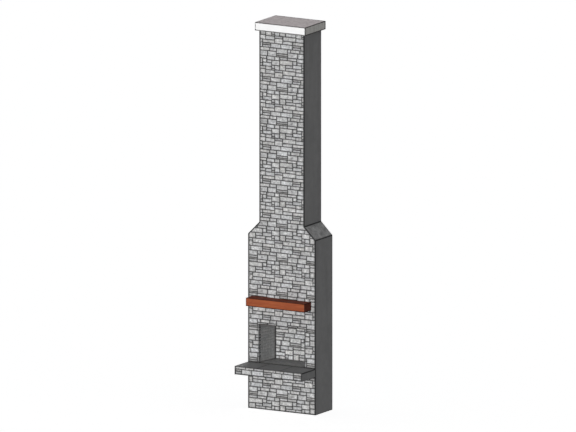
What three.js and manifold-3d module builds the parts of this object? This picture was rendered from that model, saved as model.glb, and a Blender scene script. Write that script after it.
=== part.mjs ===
// Stone-faced masonry fireplace with a tall shouldered chimney.
// Millimetres, +Z up. The origin is the middle of the body's footprint, on the
// underside of the base slab. The front faces -Y and +X is to the right.
//
// The body is 72 in wide and 32 in deep. A cantilevered hearth slab crosses it
// 44 in above the base, the firebox stands on that slab, and the chimney
// narrows over two 45 degree shoulders to a 48 in stack under a cap slab.

import * as THREE from 'three';
import { mergeVertices } from 'three/addons/utils/BufferGeometryUtils.js';
import Module from 'manifold-3d';

const wasm = await Module();
wasm.setup();

// ------------------------------------------------------------ driving sizes
const IN = 25.4;

const GAP = 0.3;                    // clearance between pieces that touch
const BODY_W = 72 * IN;             // body width
const BODY_D = 32 * IN;             // body depth, the stack has the same
const STACK_W = 48 * IN;            // stack width
const SHOULDER_Z = 165 * IN;        // where the body ends and the shoulders start
const STACK_Z = 177 * IN;           // where the shoulders end
const STACK_TOP = 358 * IN;         // underside of the cap slab
const CAP_T = 8 * IN;               // cap slab thickness
const CAP_OVER = 3 * IN;            // cap overhang, all round

const BASE_SLAB_T = 4 * IN;         // concrete pad under everything
const BASE_WALL_T = 8 * IN;         // block walls below the hearth
const HEARTH_Z0 = 36 * IN;          // underside of the hearth slab
const HEARTH_Z1 = 44 * IN;          // finished hearth level
const HEARTH_OUT = 25 * IN;         // hearth projection in front of the body
const PAVING_T = 1.25 * IN;         // hearth paving and firebrick floor
const FASCIA_T = 2 * IN;            // thin stone on the hearth slab's front

const OPEN_W = 48 * IN;             // firebox opening
const OPEN_Z = 80 * IN;             // top of the opening
const FIREBOX_D = 25 * IN;          // depth, measured from the front face
const FIREBOX_BACK_W = 42 * IN;     // width at the back
const FIREBACK_T = 2.5 * IN;        // fireback thickness
const THROAT_Z0 = 76 * IN;          // where the fireback starts to lean forward
const THROAT_Z1 = 88 * IN;          // smoke shelf and damper seat

const VENEER_T = 90;                // stone facing
const COAT_T = 20;                  // render coat on the sides and back
const CORE_FRONT = -12 * IN;        // front face of the core masonry
const CORE_WALL_T = 4 * IN;         // front core wall
const SIDE_IN = 28 * IN;            // inner face of the body's side walls
const REAR_IN = 11.5 * IN;          // inner face of the rear wall
const SHAFT_W = 20 * IN;            // chimney shaft around the liners
const COAT_FOOT = 8;                // the render coat stops short of the ground

const LINER_W = 19.5 * IN;          // flue liner, outside
const LINER_D = 15.5 * IN;
const LINER_WALL = 1 * IN;
const LINER_Z = 118 * IN;           // foot of the first liner
const LINER_H = 24 * IN;
const LINER_COUNT = 10;             // the last one is half a liner
const OUTLET_Z = 346 * IN;          // rear smoke outlet, up to the cap slab

const MANTEL_W = 63 * IN;
const MANTEL_D = 12 * IN;
const MANTEL_H = 8 * IN;
const MANTEL_Z = 98.75 * IN;        // underside of the mantel beam
const ROD_R = 9.5;                  // mantel support rods
const ROD_X = 24 * IN;              // spacing of the rods from the middle one

const ANGLE_LEG = 3.5 * IN;         // lintel angle
const ANGLE_T = 9.5;
const LINTEL_BEARING = 4 * IN;

const DAMPER_OPEN_W = 43 * IN;      // throat damper
const DAMPER_Y0 = -6.5 * IN;        // front edge of the throat
const DAMPER_Y1 = -1 * IN;          // rear edge of the throat
const DAMPER_FRAME_T = 18;
const DAMPER_PLATE_T = 9;
const DAMPER_LAP = 10;              // plate laps the frame by this much
const PIN_R = 6;                    // damper hinge pin
const PIN_CLEAR = 0.5;
const KNUCKLE_R = 12;

// ------------------------------------------------------------ derived levels
const FRONT = -BODY_D / 2;
const BACK = BODY_D / 2;
const HB = BODY_W / 2;              // half widths
const HS = STACK_W / 2;
const HB_IN = HB - COAT_T;          // inside the render coat
const HS_IN = HS - COAT_T;
const BACK_IN = BACK - COAT_T;
const BEVEL = COAT_T * Math.tan(Math.PI / 8);
const SHOULDER_IN = SHOULDER_Z - BEVEL;   // shoulder corners inside the coat
const STACK_IN = STACK_Z - BEVEL;
const SLAB_TOP = HEARTH_Z1 - PAVING_T;
const VENEER_BACK = FRONT + VENEER_T;
const HO = OPEN_W / 2;
const SHAFT_FRONT = CORE_FRONT + CORE_WALL_T;
const HSH = SHAFT_W / 2;

// ------------------------------------------------------------ materials
const finish = (color, roughness, metalness = 0) => new THREE.MeshStandardMaterial({ color, roughness, metalness });
const MAT = {
  stone: finish(0x9d9d9d, 0.9),
  render: finish(0x535353, 0.92),
  block: finish(0x8c8a86, 0.95),
  concrete: finish(0x77756f, 0.9),
  paving: finish(0x555555, 0.75),
  firebrick: finish(0x606060, 0.92),
  clay: finish(0xa8623f, 0.85),
  cast_iron: finish(0x2b2b2c, 0.6, 0.9),
  steel: finish(0x45423f, 0.55, 0.9),
  timber: finish(0xa5502d, 0.7),
  cap: finish(0xe9e7e3, 0.88),
};

// ------------------------------------------------------------ helpers
const model = new THREE.Group();
const groups = {};
for (const name of ['base', 'hearth', 'firebox', 'damper', 'smoke_chamber', 'chimney', 'flue', 'facing', 'mantel']) {
  groups[name] = new THREE.Group();
  model.add(groups[name]);
}

function put(group, name, geometry, material) {
  const mesh = new THREE.Mesh(geometry, material);
  mesh.name = name;
  groups[group].add(mesh);
  return mesh;
}

// A block between two corners, drawn in by the touching gap on every side that
// isn't an outer face of the object.
function block(group, name, material, [x0, x1], [y0, y1], [z0, z1], open = '') {
  const g = (side) => (open.includes(side) ? 0 : GAP / 2);
  const ax = x0 + g('l'), bx = x1 - g('r');
  const ay = y0 + g('f'), by = y1 - g('b');
  const az = z0 + g('d'), bz = z1 - g('u');
  const mesh = put(group, name, new THREE.BoxGeometry(bx - ax, by - ay, bz - az), material);
  mesh.position.set((ax + bx) / 2, (ay + by) / 2, (az + bz) / 2);
  return mesh;
}

const outline = (points) => new THREE.Shape(points.map(([a, b]) => new THREE.Vector2(a, b)));

// Prisms: an outline in one plane, swept between two values on the third axis.
function sweepXY(points, z0, z1, holes = []) {
  const shape = outline(points);
  for (const hole of holes) shape.holes.push(outline(hole));
  return new THREE.ExtrudeGeometry(shape, { depth: z1 - z0, bevelEnabled: false }).translate(0, 0, z0);
}
function sweepXZ(points, y0, y1, holes = []) {
  const shape = outline(points);
  for (const hole of holes) shape.holes.push(outline(hole));
  const geometry = new THREE.ExtrudeGeometry(shape, { depth: y1 - y0, bevelEnabled: false });
  return geometry.rotateX(Math.PI / 2).translate(0, y1, 0);
}
const YZX = new THREE.Matrix4().makeBasis(new THREE.Vector3(0, 1, 0), new THREE.Vector3(0, 0, 1), new THREE.Vector3(1, 0, 0));
function sweepYZ(points, x0, x1, holes = []) {
  const shape = outline(points);
  for (const hole of holes) shape.holes.push(outline(hole));
  const geometry = new THREE.ExtrudeGeometry(shape, { depth: x1 - x0, bevelEnabled: false });
  return geometry.applyMatrix4(YZX).translate(x0, 0, 0);
}
const boxGeometry = (x0, x1, y0, y1, z0, z1) =>
  new THREE.BoxGeometry(x1 - x0, y1 - y0, z1 - z0).translate((x0 + x1) / 2, (y0 + y1) / 2, (z0 + z1) / 2);
const rodAlongY = (r, x, z, y0, y1, sides = 16) =>
  new THREE.CylinderGeometry(r, r, y1 - y0, sides).translate(0, (y0 + y1) / 2, 0).translate(x, 0, 0).applyMatrix4(new THREE.Matrix4().makeTranslation(0, 0, z));

// Solid joins and cuts.
function solid(geometry) {
  const g = geometry.clone();
  g.deleteAttribute('normal');
  g.deleteAttribute('uv');
  const m = mergeVertices(g, 1e-4);
  return new wasm.Manifold(new wasm.Mesh({
    numProp: 3,
    vertProperties: new Float32Array(m.attributes.position.array),
    triVerts: new Uint32Array(m.index.array),
  }));
}
function skin(manifold) {
  const mesh = manifold.getMesh();
  const g = new THREE.BufferGeometry();
  g.setAttribute('position', new THREE.BufferAttribute(new Float32Array(mesh.vertProperties), 3));
  g.setIndex(new THREE.BufferAttribute(new Uint32Array(mesh.triVerts), 1));
  g.computeVertexNormals();
  return g;
}

// Every left piece has a mirrored right piece.
const mirrored = (points) => points.map(([x, v]) => [-x, v]).reverse();

// ------------------------------------------------------------ base
// A concrete pad, four block walls round an empty chamber, and the stone facing.
block('base', 'base_slab', MAT.concrete, [-HB_IN, HB_IN], [VENEER_BACK, BACK_IN], [0, BASE_SLAB_T], 'd');
const BW = HB_IN - BASE_WALL_T;
block('base', 'base_left_wall', MAT.block, [-HB_IN, -BW], [CORE_FRONT, BACK_IN], [BASE_SLAB_T, HEARTH_Z0]);
block('base', 'base_right_wall', MAT.block, [BW, HB_IN], [CORE_FRONT, BACK_IN], [BASE_SLAB_T, HEARTH_Z0]);
block('base', 'base_front_wall', MAT.block, [-BW, BW], [CORE_FRONT, CORE_FRONT + BASE_WALL_T], [BASE_SLAB_T, HEARTH_Z0]);
block('base', 'base_rear_wall', MAT.block, [-BW, BW], [BACK_IN - BASE_WALL_T, BACK_IN], [BASE_SLAB_T, HEARTH_Z0]);
block('base', 'base_veneer', MAT.stone, [-HB_IN, HB_IN], [FRONT, VENEER_BACK], [0, HEARTH_Z0], 'fd');

// ------------------------------------------------------------ hearth
// The slab runs under the whole body and out in front of it. Its ends carry the
// render coat, its front carries thin stone, and paving lies on top of it.
const HEARTH_FRONT = FRONT - HEARTH_OUT;
block('hearth', 'hearth_slab', MAT.concrete, [-HB_IN, HB_IN], [HEARTH_FRONT + FASCIA_T, BACK_IN], [HEARTH_Z0, SLAB_TOP], '');
block('hearth', 'hearth_fascia', MAT.stone, [-HB_IN, HB_IN], [HEARTH_FRONT, HEARTH_FRONT + FASCIA_T], [HEARTH_Z0, SLAB_TOP], 'fd');
block('hearth', 'hearth_paving', MAT.paving, [-HB, HB], [HEARTH_FRONT, FRONT], [SLAB_TOP, HEARTH_Z1], 'lrfu');

// ------------------------------------------------------------ firebox
const FB_Y = FRONT + FIREBOX_D;             // face of the fireback
const HBK = FIREBOX_BACK_W / 2;
const CHEEK_Y = VENEER_BACK;                // the cheeks start behind the jambs
const SPLAY_Y = CORE_FRONT;
const g2 = GAP / 2;

put('firebox', 'firebox_floor', sweepXY([
  [-HO + g2, FRONT + g2], [HO - g2, FRONT + g2], [HO - g2, SPLAY_Y], [HBK - g2, FB_Y - g2],
  [-HBK + g2, FB_Y - g2], [-HO + g2, SPLAY_Y],
], SLAB_TOP + g2, HEARTH_Z1), MAT.firebrick);

// The inner lintel spans from cheek to cheek, over the opening.
const LINTEL_BACK = DAMPER_Y0;
const cheekPlan = [
  [-SIDE_IN + g2, CHEEK_Y + g2], [-HO - g2, CHEEK_Y + g2], [-HO - g2, SPLAY_Y], [-HBK - g2, FB_Y - g2], [-SIDE_IN + g2, FB_Y - g2],
];
const lintelNotch = (s) => boxGeometry(
  Math.min(s * (SIDE_IN + 5), s * (HBK - 40)), Math.max(s * (SIDE_IN + 5), s * (HBK - 40)),
  CHEEK_Y - 20, LINTEL_BACK + g2, OPEN_Z - g2, THROAT_Z1 + 5);
const cheek = (s) => {
  const plan = s < 0 ? cheekPlan : mirrored(cheekPlan);
  return skin(solid(sweepXY(plan, SLAB_TOP + g2, THROAT_Z1 - g2)).subtract(solid(lintelNotch(s))));
};
put('firebox', 'left_cheek', cheek(-1), MAT.firebrick);
put('firebox', 'right_cheek', cheek(1), MAT.firebrick);
block('firebox', 'firebox_back_wall', MAT.stone, [-SIDE_IN, SIDE_IN], [FB_Y, REAR_IN], [SLAB_TOP, THROAT_Z0]);
block('firebox', 'inner_lintel', MAT.concrete, [-SIDE_IN, SIDE_IN], [CORE_FRONT, LINTEL_BACK], [OPEN_Z, THROAT_Z1]);

// The throat block leans forward over the fire, and its flat top is the smoke
// shelf. It fits between the splayed cheeks.
const throat = solid(sweepYZ([
  [FB_Y, THROAT_Z0 + g2], [REAR_IN - g2, THROAT_Z0 + g2], [REAR_IN - g2, THROAT_Z1 - g2], [DAMPER_Y1, THROAT_Z1 - g2],
], -SIDE_IN, SIDE_IN)).intersect(solid(sweepXY([
  [-HO + GAP, SPLAY_Y], [HO - GAP, SPLAY_Y], [HBK - GAP, FB_Y], [SIDE_IN - g2, FB_Y + g2], [SIDE_IN - g2, REAR_IN + 1],
  [-SIDE_IN + g2, REAR_IN + 1], [-SIDE_IN + g2, FB_Y + g2], [-HBK + GAP, FB_Y],
], THROAT_Z0 - 5, THROAT_Z1 + 5)));
put('firebox', 'throat_block', skin(throat), MAT.firebrick);

// The steel angle carries the facing over the opening: one leg under the
// stones, one leg up the collar joint behind them.
const angleHalf = HO + LINTEL_BEARING;
put('firebox', 'lintel_angle', sweepYZ([
  [CORE_FRONT - 0.5, OPEN_Z + g2], [CORE_FRONT - 0.5, OPEN_Z + ANGLE_LEG], [CORE_FRONT - 0.5 - ANGLE_T, OPEN_Z + ANGLE_LEG],
  [CORE_FRONT - 0.5 - ANGLE_T, OPEN_Z + ANGLE_T], [FRONT + 14, OPEN_Z + ANGLE_T], [FRONT + 14, OPEN_Z + g2],
].reverse(), -angleHalf, angleHalf), MAT.steel);

// ------------------------------------------------------------ throat damper
// A cast frame over the throat, with a plate hinged along its rear edge. The
// control bar is pinned under the plate and hangs down behind the lintel.
const FRAME_Z0 = THROAT_Z1 + g2;
const FRAME_Z1 = FRAME_Z0 + DAMPER_FRAME_T;
const FRAME_HX = DAMPER_OPEN_W / 2 + 50;
const FRAME_Y0 = SHAFT_FRONT + GAP;
const FRAME_Y1 = DAMPER_Y1 + 60;
const DHX = DAMPER_OPEN_W / 2;
const PIN_Z = FRAME_Z1 + KNUCKLE_R + 1.5;
const PIN_Y = DAMPER_Y1 + DAMPER_LAP + KNUCKLE_R + 6;

const circle = (cy, cz, r, sides, start = 0) => Array.from({ length: sides }, (_, i) => {
  const a = start + (2 * Math.PI * i) / sides;
  return [cy + r * Math.cos(a), cz + r * Math.sin(a)];
});
// Knuckle outlines are drawn round the pin and down to what they stand on.
const lugOutline = [
  [PIN_Y + KNUCKLE_R, FRAME_Z1 - 2], [PIN_Y + KNUCKLE_R, PIN_Z],
  ...Array.from({ length: 7 }, (_, i) => {
    const a = (Math.PI * (i + 1)) / 8;
    return [PIN_Y + KNUCKLE_R * Math.cos(a), PIN_Z + KNUCKLE_R * Math.sin(a)];
  }),
  [PIN_Y - KNUCKLE_R, PIN_Z], [PIN_Y - KNUCKLE_R, FRAME_Z1 - 2],
];
const pinHole = circle(PIN_Y, PIN_Z, PIN_R + PIN_CLEAR, 16, Math.PI / 16);
const LUG_W = 24;
const LUG_X = DHX - 20;               // the frame's lugs, near its ends
const lug = (x) => solid(sweepYZ(lugOutline, x, x + LUG_W, [pinHole]));
let frameSolid = solid(sweepXY(
  [[-FRAME_HX, FRAME_Y0], [FRAME_HX, FRAME_Y0], [FRAME_HX, FRAME_Y1], [-FRAME_HX, FRAME_Y1]], FRAME_Z0, FRAME_Z1,
  [[[-DHX, DAMPER_Y0], [DHX, DAMPER_Y0], [DHX, DAMPER_Y1], [-DHX, DAMPER_Y1]].reverse()]));
for (const x of [-LUG_X - LUG_W, LUG_X, -LUG_W / 2]) frameSolid = frameSolid.add(lug(x));
put('damper', 'damper_frame', skin(frameSolid), MAT.cast_iron);

const PLATE_Z0 = FRAME_Z1 + GAP;
const PLATE_Z1 = PLATE_Z0 + DAMPER_PLATE_T;
const PLATE_Y0 = DAMPER_Y0 - DAMPER_LAP;
const PLATE_Y1 = DAMPER_Y1 + DAMPER_LAP;
const plateKnuckle = [
  [PLATE_Y1 - 12, PLATE_Z0], [PIN_Y - KNUCKLE_R + 3, PLATE_Z0],
  ...Array.from({ length: 10 }, (_, i) => {
    const a = -Math.PI * 0.72 + (Math.PI * 1.36 * i) / 9;
    return [PIN_Y + (KNUCKLE_R - 0.8) * Math.cos(a), PIN_Z + (KNUCKLE_R - 0.8) * Math.sin(a)];
  }).filter(([, z]) => z > PLATE_Z0 + 0.2),
  [PLATE_Y1 - 12, PLATE_Z1],
];
let plateSolid = solid(sweepXY(
  [[-DHX - DAMPER_LAP, PLATE_Y0], [DHX + DAMPER_LAP, PLATE_Y0], [DHX + DAMPER_LAP, PLATE_Y1], [-DHX - DAMPER_LAP, PLATE_Y1]],
  PLATE_Z0, PLATE_Z1));
const KN_W = 36;
for (const x of [-0.62 * DHX, 0.62 * DHX - KN_W, -0.24 * DHX, 0.24 * DHX - KN_W]) {
  plateSolid = plateSolid.add(solid(sweepYZ(plateKnuckle, x, x + KN_W, [pinHole])));
}
// A stiffening rib along the plate, and two cheeks under it for the control bar.
plateSolid = plateSolid.add(solid(boxGeometry(-DHX + 40, DHX - 40, -92, -80, PLATE_Z1 - 2, PLATE_Z1 + 8)));
const BAR_Y = -140;
const BAR_T = 6;
const BAR_PIN_Z = PLATE_Z0 - 14;
const BAR_PIN_R = 4;
const barEar = [
  [BAR_Y - 10, PLATE_Z0 + 2], [BAR_Y - 10, BAR_PIN_Z], [BAR_Y - 7, BAR_PIN_Z - 7], [BAR_Y, BAR_PIN_Z - 10],
  [BAR_Y + 7, BAR_PIN_Z - 7], [BAR_Y + 10, BAR_PIN_Z], [BAR_Y + 10, PLATE_Z0 + 2],
];
const barHole = circle(BAR_Y, BAR_PIN_Z, BAR_PIN_R + PIN_CLEAR, 12, Math.PI / 12);
for (const x of [-BAR_T / 2 - 1 - 6, BAR_T / 2 + 1]) {
  plateSolid = plateSolid.add(solid(sweepYZ(barEar, x, x + 6, [barHole])));
}
put('damper', 'damper_plate', skin(plateSolid), MAT.cast_iron);

put('damper', 'damper_hinge_pin', new THREE.CylinderGeometry(PIN_R, PIN_R, 2 * (LUG_X + LUG_W + 8), 16).rotateZ(Math.PI / 2), MAT.steel)
  .position.set(0, PIN_Y, PIN_Z);
put('damper', 'control_bar_pin', new THREE.CylinderGeometry(BAR_PIN_R, BAR_PIN_R, BAR_T + 2 + 12 + 4, 12).rotateZ(Math.PI / 2), MAT.steel)
  .position.set(0, BAR_Y, BAR_PIN_Z);

// The bar has ratchet notches in its front edge and a ring at its lower end.
const BAR_Z0 = 79 * IN;
const BAR_HALF = 9;
const notches = [];
for (let i = 0; i < 6; i++) {
  const z = BAR_PIN_Z - 40 - i * 22;
  notches.push([BAR_Y - BAR_HALF, z], [BAR_Y - BAR_HALF + 5, z - 2], [BAR_Y - BAR_HALF, z - 10]);
}
const RING_R = 20;
const ringZ = BAR_Z0 + RING_R;
const barOutline = [
  [BAR_Y + BAR_HALF, BAR_PIN_Z], [BAR_Y + 6, BAR_PIN_Z + 7], [BAR_Y, BAR_PIN_Z + 9], [BAR_Y - 6, BAR_PIN_Z + 7], [BAR_Y - BAR_HALF, BAR_PIN_Z],
  ...notches,
  [BAR_Y - BAR_HALF, ringZ + 17],
  ...Array.from({ length: 13 }, (_, i) => {
    const a = Math.PI * (0.65 + (1.7 * i) / 12);
    return [BAR_Y + RING_R * Math.cos(a), ringZ + RING_R * Math.sin(a)];
  }),
  [BAR_Y + BAR_HALF, ringZ + 17],
];
put('damper', 'control_bar', sweepYZ(barOutline, -BAR_T / 2, BAR_T / 2, [barHole, circle(BAR_Y, ringZ, RING_R - 8, 12)]), MAT.cast_iron);

// ------------------------------------------------------------ body walls
block('firebox', 'left_body_wall', MAT.block, [-HB_IN, -SIDE_IN], [CORE_FRONT, REAR_IN], [SLAB_TOP, SHOULDER_IN]);
block('firebox', 'right_body_wall', MAT.block, [SIDE_IN, HB_IN], [CORE_FRONT, REAR_IN], [SLAB_TOP, SHOULDER_IN]);
block('firebox', 'rear_body_wall', MAT.block, [-HB_IN, HB_IN], [REAR_IN, BACK_IN], [SLAB_TOP, SHOULDER_IN]);

// The breast wall holds the mantel rods.
const ROD_Z = MANTEL_Z + MANTEL_H / 2;
const rodXs = [-ROD_X, 0, ROD_X];
const ROD_Y1 = SHAFT_FRONT - 8;
const bores = (manifold, y0, y1) => rodXs.reduce((m, x) => m.subtract(solid(rodAlongY(ROD_R + GAP, x, ROD_Z, y0, y1))), manifold);
put('smoke_chamber', 'breast_wall', skin(bores(
  solid(boxGeometry(-SIDE_IN + g2, SIDE_IN - g2, CORE_FRONT + g2, SHAFT_FRONT - g2, THROAT_Z1 + g2, SHOULDER_IN - g2)),
  CORE_FRONT - 20, ROD_Y1 + 1)), MAT.block);

// ------------------------------------------------------------ smoke chamber
const wedge = [[-SIDE_IN + g2, 92 * IN], [-(LINER_W / 2 - LINER_WALL), LINER_Z - g2], [-SIDE_IN + g2, LINER_Z - g2]];
put('smoke_chamber', 'left_smoke_chamber_wall', sweepXZ(wedge, SHAFT_FRONT + g2, REAR_IN - g2), MAT.firebrick);
put('smoke_chamber', 'right_smoke_chamber_wall', sweepXZ(mirrored(wedge), SHAFT_FRONT + g2, REAR_IN - g2), MAT.firebrick);
block('smoke_chamber', 'left_haunch_block', MAT.block, [-SIDE_IN, -HSH], [SHAFT_FRONT, REAR_IN], [LINER_Z, SHOULDER_IN]);
block('smoke_chamber', 'right_haunch_block', MAT.block, [HSH, SIDE_IN], [SHAFT_FRONT, REAR_IN], [LINER_Z, SHOULDER_IN]);

// ------------------------------------------------------------ chimney
const shoulder = [
  [-HB_IN + g2, SHOULDER_IN + g2], [-HS_IN + g2, STACK_IN - g2], [-HSH - g2, STACK_IN - g2], [-HSH - g2, SHOULDER_IN + g2],
].reverse();
put('chimney', 'left_shoulder_block', sweepXZ(shoulder, CORE_FRONT + g2, BACK_IN - g2), MAT.block);
put('chimney', 'right_shoulder_block', sweepXZ(mirrored(shoulder), CORE_FRONT + g2, BACK_IN - g2), MAT.block);
block('chimney', 'left_stack_wall', MAT.block, [-HS_IN, -HSH], [CORE_FRONT, BACK_IN], [STACK_IN, STACK_TOP]);
block('chimney', 'right_stack_wall', MAT.block, [HSH, HS_IN], [CORE_FRONT, BACK_IN], [STACK_IN, STACK_TOP]);
block('chimney', 'front_stack_wall', MAT.block, [-HSH, HSH], [CORE_FRONT, SHAFT_FRONT], [SHOULDER_IN, STACK_TOP]);
block('chimney', 'rear_stack_wall', MAT.block, [-HSH, HSH], [REAR_IN, BACK_IN], [SHOULDER_IN, OUTLET_Z]);
block('chimney', 'cap_slab', MAT.cap, [-HS - CAP_OVER, HS + CAP_OVER], [FRONT - CAP_OVER, BACK + CAP_OVER], [STACK_TOP, STACK_TOP + CAP_T], 'lrfbu');

// The render coat covers both sides, the shoulder slopes, the back and the
// hearth's two ends, in one layer.
const profile = (b, s, z0, z1, zs0, zs1) => [[-b, z0], [b, z0], [b, zs0], [s, zs1], [s, z1], [-s, z1], [-s, zs1], [-b, zs0]];
let coat = solid(sweepXZ(profile(HB, HS, COAT_FOOT, STACK_TOP - GAP / 2, SHOULDER_Z, STACK_Z), FRONT, BACK))
  .add(solid(boxGeometry(-HB, HB, HEARTH_FRONT, FRONT + 10, HEARTH_Z0, SLAB_TOP - g2)));
coat = coat.subtract(solid(sweepXZ(profile(HB_IN, HS_IN, -50, STACK_TOP + 50, SHOULDER_IN, STACK_IN), FRONT - 50, BACK_IN)));
coat = coat.subtract(solid(boxGeometry(-HB_IN, HB_IN, HEARTH_FRONT - 50, FRONT + 60, HEARTH_Z0 - 50, HEARTH_Z1)));
coat = coat.subtract(solid(boxGeometry(-HSH, HSH, BACK_IN - 30, BACK + 50, OUTLET_Z, STACK_TOP + 50)));
put('chimney', 'render_coat', skin(coat), MAT.render);

// ------------------------------------------------------------ flue liners
const liner = [[-LINER_W / 2, -LINER_D / 2], [LINER_W / 2, -LINER_D / 2], [LINER_W / 2, LINER_D / 2], [-LINER_W / 2, LINER_D / 2]];
const bore = liner.map(([x, y]) => [x - Math.sign(x) * LINER_WALL, y - Math.sign(y) * LINER_WALL]).reverse();
const LINER_Y = (SHAFT_FRONT + REAR_IN) / 2;
for (let i = 0; i < LINER_COUNT; i++) {
  const z0 = LINER_Z + i * LINER_H;
  const z1 = Math.min(z0 + LINER_H, OUTLET_Z);
  put('flue', `flue_liner_${i + 1}`, sweepXY(liner, 0, z1 - z0 - GAP, [bore]), MAT.clay).position.set(0, LINER_Y, z0 + g2);
}

// ------------------------------------------------------------ stone facing
const BED = ANGLE_T + GAP;           // the bed joint that holds the lintel angle
block('facing', 'left_jamb_veneer', MAT.stone, [-HB_IN, -HO], [FRONT, VENEER_BACK], [SLAB_TOP, OPEN_Z], 'fr');
block('facing', 'right_jamb_veneer', MAT.stone, [HO, HB_IN], [FRONT, VENEER_BACK], [SLAB_TOP, OPEN_Z], 'fl');
const MID_Z = 122.5 * IN;
put('facing', 'lower_breast_veneer', skin(bores(
  solid(boxGeometry(-HB_IN + g2, HB_IN - g2, FRONT, VENEER_BACK - g2, OPEN_Z + BED, MID_Z - g2)), FRONT - 20, VENEER_BACK + 20)), MAT.stone);
block('facing', 'upper_breast_veneer', MAT.stone, [-HB_IN, HB_IN], [FRONT, VENEER_BACK], [MID_Z, SHOULDER_IN], 'f');
put('facing', 'shoulder_veneer', sweepXZ([
  [-HB_IN + g2, SHOULDER_IN + g2], [HB_IN - g2, SHOULDER_IN + g2], [HS_IN - g2, STACK_IN - g2], [-HS_IN + g2, STACK_IN - g2],
], FRONT, VENEER_BACK), MAT.stone);
const LIFT = (STACK_TOP - STACK_IN) / 3;
['lower', 'middle', 'upper'].forEach((name, i) => {
  block('facing', `${name}_stack_veneer`, MAT.stone, [-HS_IN, HS_IN], [FRONT, VENEER_BACK], [STACK_IN + i * LIFT, STACK_IN + (i + 1) * LIFT], 'f');
});

// ------------------------------------------------------------ mantel
const my0 = FRONT - MANTEL_D, my1 = FRONT - GAP, mz0 = MANTEL_Z, mz1 = MANTEL_Z + MANTEL_H, c = 5;
const beam = solid(sweepYZ([
  [my0 + c, mz0], [my1, mz0], [my1, mz1], [my0 + c, mz1], [my0, mz1 - c], [my0, mz0 + c],
], -MANTEL_W / 2, MANTEL_W / 2));
const ROD_Y0 = FRONT - 8 * IN;
put('mantel', 'mantel_beam', skin(bores(beam, ROD_Y0 - 2, FRONT + 20)), MAT.timber);
['left', 'middle', 'right'].forEach((name, i) => {
  put('mantel', `${name}_mantel_rod`, new THREE.CylinderGeometry(ROD_R, ROD_R, ROD_Y1 - ROD_Y0, 16), MAT.steel)
    .position.set(rodXs[i], (ROD_Y0 + ROD_Y1) / 2, ROD_Z);
});

export default model;
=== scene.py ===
import math
import random

import bpy
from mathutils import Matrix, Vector, noise


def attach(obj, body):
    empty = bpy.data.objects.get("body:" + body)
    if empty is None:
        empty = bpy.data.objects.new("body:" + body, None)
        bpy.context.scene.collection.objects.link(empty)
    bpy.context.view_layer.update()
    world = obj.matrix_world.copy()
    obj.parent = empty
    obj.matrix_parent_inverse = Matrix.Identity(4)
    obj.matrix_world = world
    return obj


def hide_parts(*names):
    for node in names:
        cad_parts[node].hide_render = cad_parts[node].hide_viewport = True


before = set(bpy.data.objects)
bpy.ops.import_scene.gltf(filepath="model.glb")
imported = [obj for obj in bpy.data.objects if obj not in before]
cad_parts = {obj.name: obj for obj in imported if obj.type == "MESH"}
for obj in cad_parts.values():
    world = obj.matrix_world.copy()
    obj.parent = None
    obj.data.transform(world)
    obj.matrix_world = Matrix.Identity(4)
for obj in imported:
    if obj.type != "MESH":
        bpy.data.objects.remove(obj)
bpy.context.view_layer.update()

# Everything below is worked out in millimetres in the frame of the packed
# model (+Z up, front faces -Y) and written to the meshes in metres.
MM = 0.001
IN = 25.4

FRONT, BACK = -406.4, 406.4
HB, HS = 914.4, 609.6                 # half widths of the body and of the stack
COAT = 20.0
HB_IN, HS_IN = HB - COAT, HS - COAT
SHOULDER_Z, STACK_Z = 4191.0, 4495.8
SHOULDER_IN, STACK_IN = 4182.7, 4487.5
STACK_TOP, TOP = 9093.2, 9296.4
HEARTH_FRONT, HEARTH_Z0, HEARTH_Z1, SLAB_TOP = -1041.4, 914.4, 1117.6, 1085.85
OPEN_HALF, OPEN_Z = 609.6, 2032.0
FB_Y, FB_HALF, FB_TOP = 228.6, 533.4, 1930.4
VENEER_BACK, CORE_FRONT = -316.4, -304.8
THROAT_Z1 = 2235.2
ANGLE_HALF = 711.2
BED_Z = 2041.9
MID_Z = 3111.5
LIFT = (STACK_TOP - STACK_IN) / 3

# ---------------------------------------------------------------- camera
# Parallel projection, 30 degrees round to the right and 11.3 degrees up.
AZ, EL = math.radians(30.0), math.radians(11.285)
right = Vector((math.cos(AZ), math.sin(AZ), 0))
back = Vector((math.sin(AZ) * math.cos(EL), -math.cos(AZ) * math.cos(EL), math.sin(EL)))
up = back.cross(right)
corner = Vector((-HB, FRONT, 0)) * MM
target = corner + right * (37.061 * IN * MM) + up * (177.83 * IN * MM)
cam_data = bpy.data.cameras.new("camera")
cam_data.type = "ORTHO"
cam_data.ortho_scale = 576 / 1.0793 * IN * MM
cam_data.clip_start, cam_data.clip_end = 0.1, 1500
camera = bpy.data.objects.new("camera", cam_data)
bpy.context.scene.collection.objects.link(camera)
camera.location = target + back * 40
camera.rotation_mode = "QUATERNION"
camera.rotation_quaternion = (-back).to_track_quat("-Z", "Y")
bpy.context.scene.camera = camera


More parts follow.
